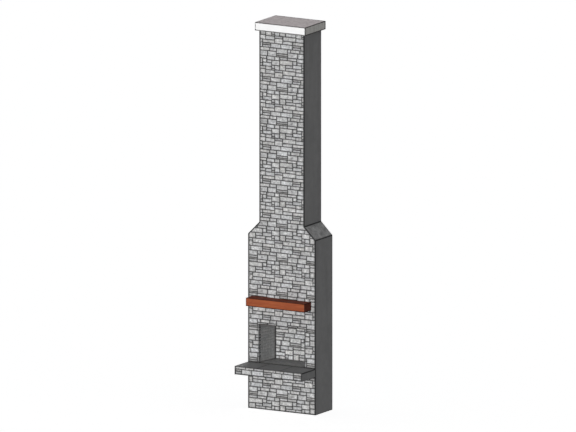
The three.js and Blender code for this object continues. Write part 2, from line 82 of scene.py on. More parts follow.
# ---------------------------------------------------------------- meshes
class Mesh:
    """Gathers vertices in millimetres, faces, per-vertex values, and for each
    face its corners laid flat in millimetres and the chart it belongs to."""

    def __init__(self):
        self.co, self.faces, self.smooth = [], [], []
        self.values = {}
        self.flat, self.chart = [], []
        self.charts = 0

    def new_chart(self):
        self.charts += 1
        return self.charts

    def vert(self, p, **values):
        i = len(self.co)
        self.co.append(p)
        for k in values:
            if k not in self.values:
                self.values[k] = [0.0] * i
        for k, col in self.values.items():
            col.append(values.get(k, 0.0))
        return i

    def face(self, ids, smooth, flat, chart):
        self.faces.append(tuple(ids))
        self.smooth.append(smooth)
        self.flat.append(flat)
        self.chart.append(chart)

    def unfold(self, me):
        """Stands the charts up and lays them side by side in rows, the tallest
        first, on one map that they fill."""
        def boxed():
            boxes = {}
            for chart, flat in zip(self.chart, self.flat):
                xs, ys = [x for x, _ in flat], [y for _, y in flat]
                b = boxes.get(chart, [1e9, 1e9, -1e9, -1e9])
                boxes[chart] = [min(b[0], *xs), min(b[1], *ys), max(b[2], *xs), max(b[3], *ys)]
            return boxes

        lying = {c for c, b in boxed().items() if b[2] - b[0] > b[3] - b[1]}
        self.flat = [[(-y, x) for x, y in flat] if chart in lying else flat
                     for chart, flat in zip(self.chart, self.flat)]
        boxes = boxed()
        gap = 0.007 * math.sqrt(sum((b[2] - b[0]) * (b[3] - b[1]) for b in boxes.values()))
        size = {c: (b[2] - b[0] + gap, b[3] - b[1] + gap) for c, b in boxes.items()}
        order = sorted(size, key=lambda c: (-size[c][1], c))
        area = sum(w * h for w, h in size.values())
        best = None
        for step in range(60):
            limit = math.sqrt(area) * (0.7 + 0.015 * step)
            if limit < max(w for w, _ in size.values()):
                limit = max(w for w, _ in size.values())
            at, x, y, row, across = {}, 0.0, 0.0, 0.0, 0.0
            for c in order:
                w, h = size[c]
                if x + w > limit + 1e-6:
                    x, y, row = 0.0, y + row, 0.0
                at[c] = (x, y)
                x, row = x + w, max(row, h)
                across = max(across, x)
            high = y + row
            cost = across * high * max(across / high, high / across) ** 0.25
            if best is None or cost < best[0]:
                best = (cost, at, across, high)
        _, at, across, high = best
        places = []
        for chart, flat in zip(self.chart, self.flat):
            dx = at[chart][0] + gap / 2 - boxes[chart][0]
            dy = at[chart][1] + gap / 2 - boxes[chart][1]
            for x, y in flat:
                places += [(x + dx) / across, (y + dy) / high]
        me.uv_layers.new(name="OFBake").uv.foreach_set("vector", places)

    def make(self, name, material, body="masonry", slot=None, stands_for=()):
        me = bpy.data.meshes.new(name)
        me.from_pydata([(x * MM, y * MM, z * MM) for x, y, z in self.co], [], self.faces)
        me.polygons.foreach_set("use_smooth", self.smooth)
        for k, col in self.values.items():
            me.attributes.new(k, "FLOAT", "POINT").data.foreach_set("value", col)
        me.materials.append(material)
        me.update()
        self.unfold(me)
        obj = bpy.data.objects.new(name, me)
        bpy.context.scene.collection.objects.link(obj)
        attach(obj, body)
        if stands_for:
            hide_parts(*stands_for)
        return obj


def n3(x, y, z, size, seed=0.0):
    """Smooth noise from -1 to 1, with features of about size millimetres."""
    return noise.noise(Vector((x / size + seed * 7.13, y / size - seed * 3.71, z / size + seed * 1.37)))


def clamp(x, lo, hi):
    return lo if x < lo else hi if x > hi else x


def ease(x):
    x = clamp(x, 0.0, 1.0)
    return x * x * (3 - 2 * x)


def lines(a, b, r, step, fine=(0.0, 0.4), edge=0.0):
    """Grid lines from a to b, close together inside a rounding of r at each
    end, with one more line at edge from each end if there is room."""
    head = [a + r * f for f in fine]
    tail = [b - r * f for f in reversed(fine)]
    if edge > r + 2 and b - a > 2.4 * edge:
        head, tail, r = head + [a + r], [b - r] + tail, edge
    inner = b - a - 2 * r
    n = max(1, int(round(inner / step)))
    return head + [a + r + inner * i / n for i in range(n + 1)] + tail


HIDDEN = 0.12                          # how large a chart is that nobody sees


def rounded_box(mesh, lo, hi, r, step, shape=None, rim_width=30.0, extra=None, bend=None, near=None, seen=None):
    """A closed box with rounded edges and an even grid on each face.
    shape(p, normal, rim) gives how far a point moves along its normal. near
    holds a factor for the distance to some of the sides, (axis, 0 or 1),
    below 1 for a wider rim there. seen lists the sides that show."""
    near = near or {}
    if not hasattr(step, "__len__"):
        step = (step,) * 3
    axes = [lines(lo[k], hi[k], r, step[k], edge=rim_width) for k in range(3)]
    for (k, side), factor in near.items():
        axes[k] = sorted(axes[k] + [hi[k] - rim_width / factor if side else lo[k] + rim_width / factor])
    n = [len(a) - 1 for a in axes]
    made = {}

    def vertex(i, j, k):
        key = (i, j, k)
        if key in made:
            return made[key]
        p = [axes[0][i], axes[1][j], axes[2][k]]
        q = [clamp(p[m], lo[m] + r, hi[m] - r) for m in range(3)]
        v = [p[m] - q[m] for m in range(3)]
        size = math.sqrt(sum(c * c for c in v)) or 1.0
        normal = [c / size for c in v]
        out = [q[m] + normal[m] * r for m in range(3)]
        gaps = sorted(min((p[m] - lo[m]) * near.get((m, 0), 1), (hi[m] - p[m]) * near.get((m, 1), 1)) for m in range(3))
        rim = clamp(1 - gaps[1] / rim_width, 0, 1)
        if shape:
            d = shape(out, normal, rim)
            out = [out[m] + normal[m] * d for m in range(3)]
        values = {"rim": rim, "nx": normal[0], "ny": normal[1], "nz": normal[2]}
        if extra:
            values.update(extra(out, normal))
        if bend:
            out = bend(out)
        made[key] = mesh.vert(tuple(out), **values)
        return made[key]

    for axis in range(3):
        u, w = [(1, 2), (2, 0), (0, 1)][axis]
        for side in (0, 1):
            chart = mesh.new_chart()
            size = 1.0 if seen is None or (axis, side) in seen else HIDDEN
            for a in range(n[u]):
                for b in range(n[w]):
                    ids, flat = [], []
                    for da, db in ((0, 0), (1, 0), (1, 1), (0, 1)):
                        index = [0, 0, 0]
                        index[axis] = n[axis] * side
                        index[u], index[w] = a + da, b + db
                        ids.append(vertex(*index))
                        flat.append(((size if side else -size) * axes[u][a + da], size * axes[w][b + db]))
                    mesh.face(ids if side else ids[::-1], True, flat if side else flat[::-1], chart)


def stone(mesh, place, left, right_, w0, w1, depth, seed, tone=0.5, hue=0.5, r=9.0, proud=-5.0, relief=2.6,
          wobble=2.4, tilt=0.012, step=19.0, limits=None, rim_width=16.0, soot=0.0, shade=0.0,
          side_rims=(1.0, 0.7, 0.0), sides=0.06):
    """One closed stone or brick, rounded at its face, flat at its back.
    place(u, w, n) gives the point, with n the height over the face plane.
    left and right_ give the ends of the stone at each height w. limits(w)
    gives the edges that its wavy outline must not cross. The soot value (real
    soot, and painted shade in creases, under ledges and along edges) and the
    shade value (painted shade at the ends, dark bands and spots) are numbers or
    functions of (u, w); a shaded part also dips a little. sides is how wide the
    stone's sides lie in its chart, as a part of its depth."""
    soot_at = soot if callable(soot) else lambda u, w: soot
    shade_at = shade if callable(shade) else lambda u, w: shade
    height = w1 - w0
    mid = (w0 + w1) / 2
    width = right_(mid) - left(mid)
    if width < 8 or height < 8:
        return
    r = min(r, 0.32 * height, 0.32 * width)
    rows = lines(0, height, r, step)
    rng = random.Random(seed)
    tu, tw = rng.uniform(-tilt, tilt), rng.uniform(-tilt, tilt)
    belly = rng.uniform(0.2, 1.0) * min(2.5, 0.02 * min(width, height) + 0.6)
    s = rng.uniform(0, 90)
    ncol = max(1, int(round((width - 2 * r) / step)))

    def columns(w):
        a, b = left(w), right_(w)
        inner = b - a - 2 * r
        return [a, a + 0.4 * r] + [a + r + inner * i / ncol for i in range(ncol + 1)] + [b - 0.4 * r, b]

    def point(u, w, a, b, c):
        """(a, b, c) is the offset from the inner rectangle, c upwards."""
        size = math.sqrt(a * a + b * b + c * c) or 1.0
        qa, qb = u - a, w - b
        uu, ww = qa + a / size * r, qb + b / size * r
        n = -r + c / size * r
        k = c / r if r else 1.0
        fu, fw = (uu - umid) / max(width, 1), (ww - mid) / max(height, 1)
        bump = (n3(uu, ww, 0, 46, s) * relief + n3(uu, ww, 9, 17, s) * relief * 0.45
                + belly * (1 - min(1.0, 4 * fu * fu)) * (1 - min(1.0, 4 * fw * fw)))
        bump += tu * (uu - umid) + tw * (ww - mid) - 5.0 * shade_at(u, w)
        n = min(n + proud + bump * clamp(k, 0, 1), -0.2)
        uu += n3(uu, ww, 3, 70, s) * wobble + n3(uu, ww, 5, 22, s) * wobble * 0.4
        ww += n3(uu, ww, 7, 85, s + 4) * wobble + n3(uu, ww, 11, 24, s) * wobble * 0.4
        free = uu, ww
        if limits:
            lu, hu, lw, hw = limits(ww)
            uu, ww = clamp(uu, lu, hu), clamp(ww, lw, hw)
        return place(uu, ww, n), free

    umid = (left(mid) + right_(mid)) / 2
    nr, nc = len(rows), len(columns(mid))
    ids = [[0] * nc for _ in range(nr)]
    flat = [[0] * nc for _ in range(nr)]
    for i, dw in enumerate(rows):
        w = w0 + dw
        us = columns(w)
        b = 0.0 if r <= dw <= height - r else (dw - r if dw < r else dw - (height - r))
        for j, u in enumerate(us):
            a = 0.0 if 2 <= j <= nc - 3 else (u - (us[0] + r) if j < 2 else u - (us[-1] - r))
            edge = min(dw, height - dw, u - us[0], us[-1] - u)
            rim = clamp(1 - edge / rim_width, 0, 1)
            p, flat[i][j] = point(u, w, a, b, r)
            ids[i][j] = mesh.vert(p, tone=tone, hue=hue, rim=rim, soot=soot_at(u, w), shade=shade_at(u, w))
    order = ([(0, j) for j in range(nc)] + [(i, nc - 1) for i in range(1, nr)]
             + [(nr - 1, j) for j in range(nc - 2, -1, -1)] + [(i, 0) for i in range(nr - 2, 0, -1)])
    chart, hidden = mesh.new_chart(), mesh.new_chart()
    for i in range(nr - 1):
        for j in range(nc - 1):
            four = ((i, j), (i, j + 1), (i + 1, j + 1), (i + 1, j))
            mesh.face([ids[a][b] for a, b in four], True, [flat[a][b] for a, b in four], chart)
    last = [(ids[i][j], flat[i][j]) for i, j in order]
    for c, rim, out in zip((0.42 * r, 0.0, None), side_rims, (0.8, 2.4, 2.4 + sides * depth)):
        now = []
        for i, j in order:
            w = w0 + rows[i]
            us = columns(w)
            u = us[j]
            dw = rows[i]
            b = 0.0 if r <= dw <= height - r else (dw - r if dw < r else dw - (height - r))
            a = 0.0 if 2 <= j <= nc - 3 else (u - (us[0] + r) if j < 2 else u - (us[-1] - r))
            size = math.sqrt(a * a + b * b) or 1.0
            if c is None:
                uu, ww = u - a + a / size * r, w - b + b / size * r
                uu += n3(uu, ww, 3, 70, s) * wobble + n3(uu, ww, 5, 22, s) * wobble * 0.4
                ww += n3(uu, ww, 7, 85, s + 4) * wobble + n3(uu, ww, 11, 24, s) * wobble * 0.4
                free = uu, ww
                if limits:
                    lu, hu, lw, hw = limits(ww)
                    uu, ww = clamp(uu, lu, hu), clamp(ww, lw, hw)
                p = place(uu, ww, -depth)
            else:
                p, free = point(u, w, a, b, c)
            now.append((mesh.vert(p, tone=tone, hue=hue, rim=rim, soot=soot_at(u, w) * rim * rim, shade=shade_at(u, w)),
                        (free[0] + a / size * out, free[1] + b / size * out)))
        m = len(order)
        for k in range(m):
            four = (last[k], now[k], now[(k + 1) % m], last[(k + 1) % m])
            mesh.face([v for v, _ in four], c is not None, [f for _, f in four], chart)
        last = now
    mesh.face([v for v, _ in last[::-1]], False, [(x * HIDDEN, y * HIDDEN) for _, (x, y) in last[::-1]], hidden)


# ---------------------------------------------------------------- materials
class Nodes:
    """A material's nodes, with one Principled shader at the end."""

    def __init__(self, name, roughness=0.88, metallic=0.0, specular=0.3):
        self.material = bpy.data.materials.new(name)
        self.material.use_nodes = True
        self.tree = self.material.node_tree
        self.tree.nodes.clear()
        out = self.tree.nodes.new("ShaderNodeOutputMaterial")
        self.shader = self.tree.nodes.new("ShaderNodeBsdfPrincipled")
        self.tree.links.new(self.shader.outputs[0], out.inputs[0])
        self.shader.inputs["Roughness"].default_value = roughness
        self.shader.inputs["Metallic"].default_value = metallic
        self.shader.inputs["Specular IOR Level"].default_value = specular
        self.at = self.tree.nodes.new("ShaderNodeTexCoord").outputs["Object"]

    def node(self, kind, *inputs, **props):
        n = self.tree.nodes.new("ShaderNode" + kind)
        for k, v in props.items():
            setattr(n, k, v)
        for i, v in enumerate(inputs):
            self.put(n.inputs[i], v)
        return n

    def put(self, socket, value):
        if isinstance(value, bpy.types.NodeSocket):
            self.tree.links.new(value, socket)
        elif value is not None:
            if hasattr(value, "__len__") and socket.type == "RGBA" and len(value) == 3:
                value = (*value, 1)
            socket.default_value = value

    def set(self, **inputs):
        for k, v in inputs.items():
            self.put(self.shader.inputs[k.replace("_", " ")], v)

    def attr(self, name):
        return self.node("Attribute", attribute_name=name).outputs["Fac"]

    def math(self, op, a, b=None, clamped=False):
        return self.node("Math", a, b, operation=op, use_clamp=clamped).outputs[0]

    def ramp_value(self, x, from_lo, from_hi, to_lo, to_hi):
        """x mapped from one range to the other, held at the ends."""
        return self.node("MapRange", x, from_lo, from_hi, to_lo, to_hi, clamp=True).outputs[0]

    def stretch(self, scale, shift=(0, 0, 0)):
        m = self.node("Mapping", self.at)
        m.inputs["Scale"].default_value = scale
        m.inputs["Location"].default_value = shift
        return m.outputs[0]

    def noise(self, size, detail=3.0, roughness=0.55, at=None, distortion=0.0):
        """Noise with features of about size metres."""
        n = self.node("TexNoise")
        self.put(n.inputs["Vector"], at or self.at)
        n.inputs["Scale"].default_value = 1.0 / size
        n.inputs["Detail"].default_value = detail
        n.inputs["Roughness"].default_value = roughness
        n.inputs["Distortion"].default_value = distortion
        return n.outputs["Fac"]

    def cells(self, size, at=None, feature="F1"):
        n = self.node("TexVoronoi", feature=feature)
        self.put(n.inputs["Vector"], at or self.at)
        n.inputs["Scale"].default_value = 1.0 / size
        return n.outputs["Distance"]

    def colours(self, x, *stops):
        """A colour ramp of (place, colour) stops."""
        n = self.node("ValToRGB", x)
        e = n.color_ramp.elements
        while len(e) < len(stops):
            e.new(0.5)
        for i, (place, colour) in enumerate(stops):
            if not hasattr(colour, "__len__"):
                colour = (colour,) * 3
            e[i].position, e[i].color = place, (*colour, 1)
        return n.outputs["Color"]

    def mix(self, x, a, b, how="MIX"):
        n = self.node("Mix", data_type="RGBA", blend_type=how, clamp_factor=True)
        self.put(n.inputs[0], x)
        self.put(n.inputs[6], a)
        self.put(n.inputs[7], b)
        return n.outputs[2]

    def times(self, colour, factor):
        n = self.node("VectorMath", operation="SCALE")
        self.put(n.inputs[0], colour)
        self.put(n.inputs["Scale"], factor)
        return n.outputs[0]

    def bump(self, height, distance, strength=1.0, normal=None):
        n = self.node("Bump")
        n.inputs["Strength"].default_value = strength
        n.inputs["Distance"].default_value = distance
        self.put(n.inputs["Height"], height)
        if normal is not None:
            self.put(n.inputs["Normal"], normal)
        return n.outputs[0]


def stone_material():
    m = Nodes("facing_stone", roughness=0.9, specular=0.25)
    tint = m.colours(m.attr("hue"), (0.0, (0.975, 0.985, 1.0)), (0.5, (0.99, 0.99, 0.99)), (1.0, (1.0, 0.99, 0.975)))
    base = m.times(tint, m.attr("tone"))
    cloud = m.noise(0.060, 4, 0.62)
    grain = m.noise(0.012, 5, 0.65)
    fine = m.noise(0.0035, 3, 0.6)
    blotch = m.noise(0.026, 3, 0.6)
    beds = m.noise(0.11, 4, 0.62, at=m.stretch((1.0, 1.0, 5.5)), distortion=0.6)
    base = m.times(base, m.ramp_value(cloud, 0.3, 0.7, 0.66, 1.28))
    base = m.times(base, m.ramp_value(beds, 0.32, 0.68, 0.84, 1.14))
    base = m.times(base, m.ramp_value(grain, 0.3, 0.7, 0.85, 1.14))
    base = m.times(base, m.ramp_value(blotch, 0.32, 0.68, 0.80, 1.17))
    # shade: painted shade on the stones' ends, with dark bands and spots
    base = m.times(base, m.ramp_value(m.attr("shade"), 0.0, 1.0, 1.0, 0.38))
    spots = m.ramp_value(m.noise(0.05, 6, 0.7), 0.56, 0.68, 0.0, 0.65)
    base = m.mix(spots, base, (0.17, 0.168, 0.165))
    lichen = m.ramp_value(m.noise(0.16, 5, 0.75), 0.63, 0.72, 0.0, 0.3)
    base = m.mix(lichen, base, (0.55, 0.545, 0.50))
    # Darker towards each stone's edges: painted shade where the face rounds off into the joints.
    base = m.times(base, m.ramp_value(m.attr("rim"), 0.0, 1.0, 1.04, 0.72))
    # soot: real soot, and painted shade in creases, under ledges and along edges
    base = m.times(base, m.ramp_value(m.attr("soot"), 0.0, 1.0, 1.0, 0.13))
    rough = m.ramp_value(grain, 0.3, 0.7, 0.80, 0.97)
    rock = m.math("ADD", m.math("MULTIPLY", grain, 0.7), m.math("MULTIPLY", fine, 0.3))
    m.set(Base_Color=base, Roughness=rough, Normal=m.bump(rock, 0.010, 0.8, m.bump(beds, 0.02, 0.45)))
    return m.material


def mortar_material(name="mortar", level=0.057):
    m = Nodes(name, roughness=0.95, specular=0.2)
    sand = m.noise(0.003, 3, 0.7)
    base = m.colours(m.noise(0.06, 5, 0.65), (0.3, (level * 0.7,) * 3), (0.72, (level * 1.5, level * 1.47, level * 1.4)))
    base = m.times(base, m.ramp_value(sand, 0.3, 0.7, 0.75, 1.25))
    m.set(Base_Color=base, Roughness=m.ramp_value(sand, 0.3, 0.7, 0.88, 1.0), Normal=m.bump(sand, 0.004, 0.8))
    return m.material


def render_material():
    m = Nodes("render_coat", roughness=0.9, specular=0.2)
    cloud = m.noise(0.9, 4, 0.5)
    patch = m.noise(0.16, 5, 0.6)
    sweep = m.noise(0.35, 3, 0.5, at=m.stretch((1.0, 0.55, 0.8)), distortion=2.2)
    sand = m.noise(0.0028, 3, 0.7)
    drips = m.noise(0.12, 4, 0.6, at=m.stretch((1.0, 1.0, 0.05)))
    base = m.colours(cloud, (0.25, (0.352, 0.352, 0.354)), (0.75, (0.405, 0.404, 0.402)))
    base = m.times(base, m.ramp_value(patch, 0.3, 0.7, 0.94, 1.06))
    base = m.times(base, m.ramp_value(sand, 0.3, 0.7, 0.90, 1.10))
    base = m.times(base, m.ramp_value(drips, 0.45, 0.75, 1.0, 0.90))
    # Towards the arrises, the foot and the joints the coat turns nearly black: painted shade lines, varied by the patch
    # noise.
    rim = m.attr("rim")
    worn_and_shaded = m.math("MULTIPLY", rim, m.ramp_value(patch, 0.2, 0.8, 0.85, 1.1), clamped=True)
    # On the shoulders' slopes (up) the colour is mottled and lighter on average: painted light from above, with
    # weathering mottle.
    scoured_and_lit = m.times(base, m.ramp_value(m.noise(0.11, 5, 0.68), 0.3, 0.7, 0.66, 1.58))
    base = m.mix(m.attr("up"), base, scoured_and_lit)
    base = m.mix(m.ramp_value(worn_and_shaded, 0.25, 0.80, 0.0, 1.0), base, (0.040, 0.040, 0.041))
    height = m.math("ADD", m.math("MULTIPLY", sweep, 0.6), m.math("MULTIPLY", sand, 0.10))
    m.set(Base_Color=base, Roughness=m.ramp_value(patch, 0.3, 0.7, 0.84, 0.96), Normal=m.bump(height, 0.010, 0.55))
    return m.material


def slate_material():
    m = Nodes("hearth_slate", roughness=0.6, specular=0.4)
    riven = m.noise(0.14, 6, 0.62, distortion=0.8)
    fine = m.noise(0.008, 4, 0.6)
    base = m.colours(riven, (0.3, (0.176, 0.178, 0.181)), (0.55, (0.224, 0.225, 0.226)), (0.8, (0.282, 0.280, 0.277)))
    base = m.times(base, m.ramp_value(m.attr("tone"), 0, 1, 0.93, 1.07))
    base = m.times(base, m.ramp_value(fine, 0.3, 0.7, 0.90, 1.10))
    # Painted shade lines: the flags turn nearly black along their edges.
    base = m.mix(m.ramp_value(m.attr("rim"), 0.35, 1.0, 0.0, 0.85), base, (0.04, 0.04, 0.042))
    # soot: real soot, and painted shade in creases and along edges
    base = m.times(base, m.ramp_value(m.attr("soot"), 0.0, 1.0, 1.0, 0.25))
    m.set(Base_Color=base, Roughness=m.ramp_value(riven, 0.3, 0.7, 0.55, 0.78),
          Normal=m.bump(m.math("ADD", riven, m.math("MULTIPLY", fine, 0.15)), 0.006, 0.8))
    return m.material


def firebrick_material(name, low, high, rim=0.78):
    m = Nodes(name, roughness=0.9, specular=0.25)
    mottle = m.noise(0.05, 5, 0.65)
    smoke = m.noise(0.4, 4, 0.6, distortion=0.5)
    pores = m.cells(0.006)
    fine = m.noise(0.003, 3, 0.6)
    base = m.colours(m.attr("tone"), (0.0, (low * 0.99, low, low * 1.0)), (1.0, (high * 1.01, high, high * 0.985)))
    base = m.times(base, m.ramp_value(mottle, 0.28, 0.72, 0.82, 1.16))
    base = m.times(base, m.ramp_value(fine, 0.3, 0.7, 0.88, 1.12))
    base = m.times(base, m.ramp_value(smoke, 0.3, 0.75, 1.06, 0.86))
    # Darker towards each brick's edges, by the rim factor: painted shade where the face rounds off into the joints.
    base = m.times(base, m.ramp_value(m.attr("rim"), 0.0, 1.0, 1.02, rim))
    # soot: real soot, and painted shade in creases and along edges
    base = m.times(base, m.ramp_value(m.attr("soot"), 0.0, 1.0, 1.0, 0.28))
    pits = m.ramp_value(pores, 0.05, 0.28, 0.0, 1.0)
    m.set(Base_Color=base, Roughness=m.ramp_value(mottle, 0.3, 0.7, 0.82, 0.96),
          Normal=m.bump(m.math("ADD", m.math("MULTIPLY", pits, 0.3), mottle), 0.004, 0.7))
    return m.material


def timber_material():
    m = Nodes("mantel_timber", roughness=0.62, specular=0.09)
    long_grain = m.noise(0.045, 6, 0.62, at=m.stretch((0.045, 1.0, 1.0)), distortion=0.7)
    fibres = m.noise(0.005, 4, 0.7, at=m.stretch((0.02, 1.0, 1.0)))
    patch = m.noise(0.30, 3, 0.5, at=m.stretch((0.7, 1.0, 1.0)))
    base = m.colours(long_grain, (0.28, (0.168, 0.038, 0.016)), (0.45, (0.284, 0.073, 0.028)),
                     (0.60, (0.352, 0.100, 0.038)), (0.78, (0.428, 0.147, 0.058)))
    base = m.mix(m.ramp_value(patch, 0.35, 0.65, 0.0, 0.55), base, (0.308, 0.072, 0.033))
    base = m.times(base, m.ramp_value(fibres, 0.3, 0.7, 0.80, 1.18))
    checks = m.noise(0.012, 3, 0.6, at=m.stretch((0.03, 1.0, 1.0)), distortion=0.3)
    crack = m.ramp_value(checks, 0.30, 0.335, 1.0, 0.0)
    base = m.mix(m.math("MULTIPLY", crack, 0.7), base, (0.05, 0.012, 0.006))
    # end grain: rings round a pith that lies low in the beam
    from_pith = m.node("VectorMath", m.at, (0.0, -0.585, 2.57), operation="SUBTRACT").outputs[0]
    flat = m.node("VectorMath", from_pith, (0.0, 1.0, 1.0), operation="MULTIPLY").outputs[0]
    reach = m.node("VectorMath", flat, operation="LENGTH").outputs["Value"]
    wavy = m.math("ADD", reach, m.math("MULTIPLY", m.noise(0.05, 3, 0.5), 0.012))
    rings = m.math("SINE", m.math("MULTIPLY", wavy, 2 * math.pi / 0.0075))
    end = m.colours(m.math("MULTIPLY_ADD", rings, 0.5), (0.0, (0.110, 0.023, 0.013)), (1.0, (0.248, 0.056, 0.028)))
    ends = m.ramp_value(m.math("ABSOLUTE", m.attr("nx")), 0.6, 0.9, 0.0, 1.0)
    base = m.mix(ends, base, end)
    # The tops are painted darker and redder: dust, and painted shade of the top.
    tops = m.ramp_value(m.attr("nz"), 0.6, 0.95, 0.0, 1.0)
    dust_and_shade = m.noise(0.02, 5, 0.7, at=m.stretch((1.0, 0.25, 1.0)))
    base = m.mix(m.math("MULTIPLY", tops, m.ramp_value(dust_and_shade, 0.25, 0.7, 0.97, 0.82)), base, (0.150, 0.0215, 0.003))
    # The arrises are painted nearly black, wider along the lower edge: painted shade lines.
    base = m.mix(m.ramp_value(m.attr("rim"), 0.38, 0.62, 0.0, 0.92), base, (0.030, 0.009, 0.006))
    height = m.math("ADD", m.math("MULTIPLY", long_grain, 0.7), m.math("MULTIPLY", fibres, 0.3))
    height = m.math("SUBTRACT", height, m.math("MULTIPLY", crack, 0.5))
    m.set(Base_Color=base, Roughness=m.ramp_value(long_grain, 0.3, 0.7, 0.62, 0.45), Normal=m.bump(height, 0.005, 0.6))
    return m.material


def cap_material():
    m = Nodes("cap_stone", roughness=0.85, specular=0.25)
    cloud = m.noise(0.25, 5, 0.6)
    grain = m.noise(0.006, 4, 0.65)
    pits = m.cells(0.018)
    base = m.colours(cloud, (0.3, (0.905, 0.905, 0.900)), (0.7, (0.955, 0.955, 0.955)))
    streaks = m.noise(0.055, 5, 0.65, at=m.stretch((1.0, 1.0, 0.16)))
    # The ends facing X are painted darker and warmer in streaks: rain streaks, and painted shade of the side faces.
    sides = m.ramp_value(m.math("ABSOLUTE", m.attr("nx")), 0.6, 0.95, 0.0, 1.0)
    stained_and_shaded = m.colours(streaks, (0.30, (0.74, 0.725, 0.68)), (0.62, (0.98, 0.965, 0.92)))
    base = m.mix(sides, base, stained_and_shaded)
    # The top is painted darker and mottled: weathering, and painted shade of the top.
    tops = m.ramp_value(m.attr("nz"), 0.6, 0.95, 0.0, 1.0)
    weather = m.noise(0.10, 6, 0.7)
    worn_and_shaded = m.colours(weather, (0.28, (0.62, 0.56, 0.565)), (0.55, (0.84, 0.765, 0.77)), (0.8, (0.93, 0.88, 0.86)))
    base = m.mix(tops, base, worn_and_shaded)
    base = m.times(base, m.ramp_value(grain, 0.3, 0.7, 0.96, 1.03))
    # The arrises are painted nearly black, wider under the slab and along its back edges: painted shade lines.
    painted_dark_rim = m.math("MULTIPLY", m.attr("rim"), m.ramp_value(cloud, 0.2, 0.8, 0.9, 1.1), clamped=True)
    base = m.mix(m.ramp_value(painted_dark_rim, 0.34, 0.62, 0.0, 0.95), base, (0.048, 0.046, 0.045))
    height = m.math("ADD", grain, m.math("MULTIPLY", m.ramp_value(pits, 0.0, 0.2, 0.0, 1.0), 0.3))
    m.set(Base_Color=base, Roughness=m.ramp_value(cloud, 0.3, 0.7, 0.78, 0.92), Normal=m.bump(height, 0.003, 0.6))
    return m.material


def concrete_material():
    m = Nodes("cast_concrete", roughness=0.88, specular=0.25)
    cloud = m.noise(0.4, 5, 0.6)
    grain = m.noise(0.006, 4, 0.65)
    holes = m.ramp_value(m.cells(0.03), 0.0, 0.10, 0.0, 1.0)
    boards = m.noise(0.09, 3, 0.5, at=m.stretch((0.05, 1.0, 1.0)))
    base = m.colours(cloud, (0.3, (0.22, 0.217, 0.205)), (0.7, (0.34, 0.335, 0.32)))
    base = m.times(base, m.ramp_value(boards, 0.3, 0.7, 0.93, 1.07))
    base = m.times(base, m.ramp_value(grain, 0.3, 0.7, 0.90, 1.10))
    base = m.times(base, m.ramp_value(holes, 0.0, 1.0, 0.55, 1.0))
    m.set(Base_Color=base, Roughness=m.ramp_value(cloud, 0.3, 0.7, 0.82, 0.94),
          Normal=m.bump(m.math("ADD", holes, m.math("MULTIPLY", grain, 0.4)), 0.004, 0.7))
    return m.material


def block_material(name, across):
    """Concrete blocks in running bond. across is the axis that runs along the wall, 0 for X or 1 for Y."""
    m = Nodes(name, roughness=0.93, specular=0.2)
    parts = m.node("SeparateXYZ", m.at)
    turned = m.node("CombineXYZ", parts.outputs[across], parts.outputs[2], 0.0).outputs[0]
    b = m.node("TexBrick", turned, offset=0.5)
    for key, value in {"Scale": 1.0, "Brick Width": 0.4064, "Row Height": 0.2032, "Mortar Size": 0.005,
                       "Mortar Smooth": 0.2, "Bias": 0.0}.items():
        b.inputs[key].default_value = value
    b.inputs["Color1"].default_value = (0.27, 0.265, 0.255, 1)
    b.inputs["Color2"].default_value = (0.21, 0.207, 0.20, 1)
    b.inputs["Mortar"].default_value = (0.14, 0.138, 0.13, 1)
    grain = m.noise(0.005, 5, 0.7)
    stain = m.noise(0.3, 4, 0.6)
    base = m.times(b.outputs["Color"], m.ramp_value(grain, 0.3, 0.7, 0.82, 1.18))
    base = m.times(base, m.ramp_value(stain, 0.3, 0.7, 0.88, 1.08))
    height = m.math("SUBTRACT", m.math("MULTIPLY", grain, 0.5), b.outputs["Fac"])
    m.set(Base_Color=base, Roughness=m.ramp_value(grain, 0.3, 0.7, 0.88, 0.98), Normal=m.bump(height, 0.004, 0.8))
    return m.material


def clay_material():
    m = Nodes("liner_clay", roughness=0.82, specular=0.3)
    flame = m.noise(0.10, 5, 0.6)
    fine = m.noise(0.004, 3, 0.6)
    base = m.colours(flame, (0.3, (0.30, 0.115, 0.060)), (0.7, (0.44, 0.19, 0.10)))
    base = m.times(base, m.ramp_value(fine, 0.3, 0.7, 0.88, 1.12))
    ribs = m.noise(0.012, 2, 0.5, at=m.stretch((1.0, 1.0, 0.04)))
    m.set(Base_Color=base, Roughness=m.ramp_value(flame, 0.3, 0.7, 0.72, 0.9), Normal=m.bump(m.math("ADD", ribs, fine), 0.002, 0.6))
    return m.material


def iron_material():
    m = Nodes("cast_iron", roughness=0.6, metallic=0.75, specular=0.4)
    skin = m.noise(0.004, 4, 0.6)
    rust = m.ramp_value(m.noise(0.05, 6, 0.7), 0.52, 0.68, 0.0, 0.7)
    base = m.colours(skin, (0.3, (0.035, 0.035, 0.037)), (0.7, (0.060, 0.060, 0.062)))
    base = m.mix(rust, base, (0.110, 0.042, 0.018))
    m.set(Base_Color=base, Roughness=m.ramp_value(rust, 0.0, 0.7, 0.5, 0.85), Normal=m.bump(skin, 0.0015, 0.7))
    return m.material


def steel_material():
    m = Nodes("painted_steel", roughness=0.55, metallic=0.6, specular=0.4)
    scale_ = m.noise(0.02, 5, 0.65)
    rust = m.ramp_value(m.noise(0.035, 6, 0.7), 0.50, 0.66, 0.0, 0.75)
    base = m.colours(scale_, (0.3, (0.070, 0.068, 0.066)), (0.7, (0.105, 0.102, 0.10)))
    base = m.mix(rust, base, (0.150, 0.060, 0.025))
    m.set(Base_Color=base, Roughness=m.ramp_value(rust, 0.0, 0.75, 0.45, 0.85), Normal=m.bump(scale_, 0.001, 0.6))
    return m.material


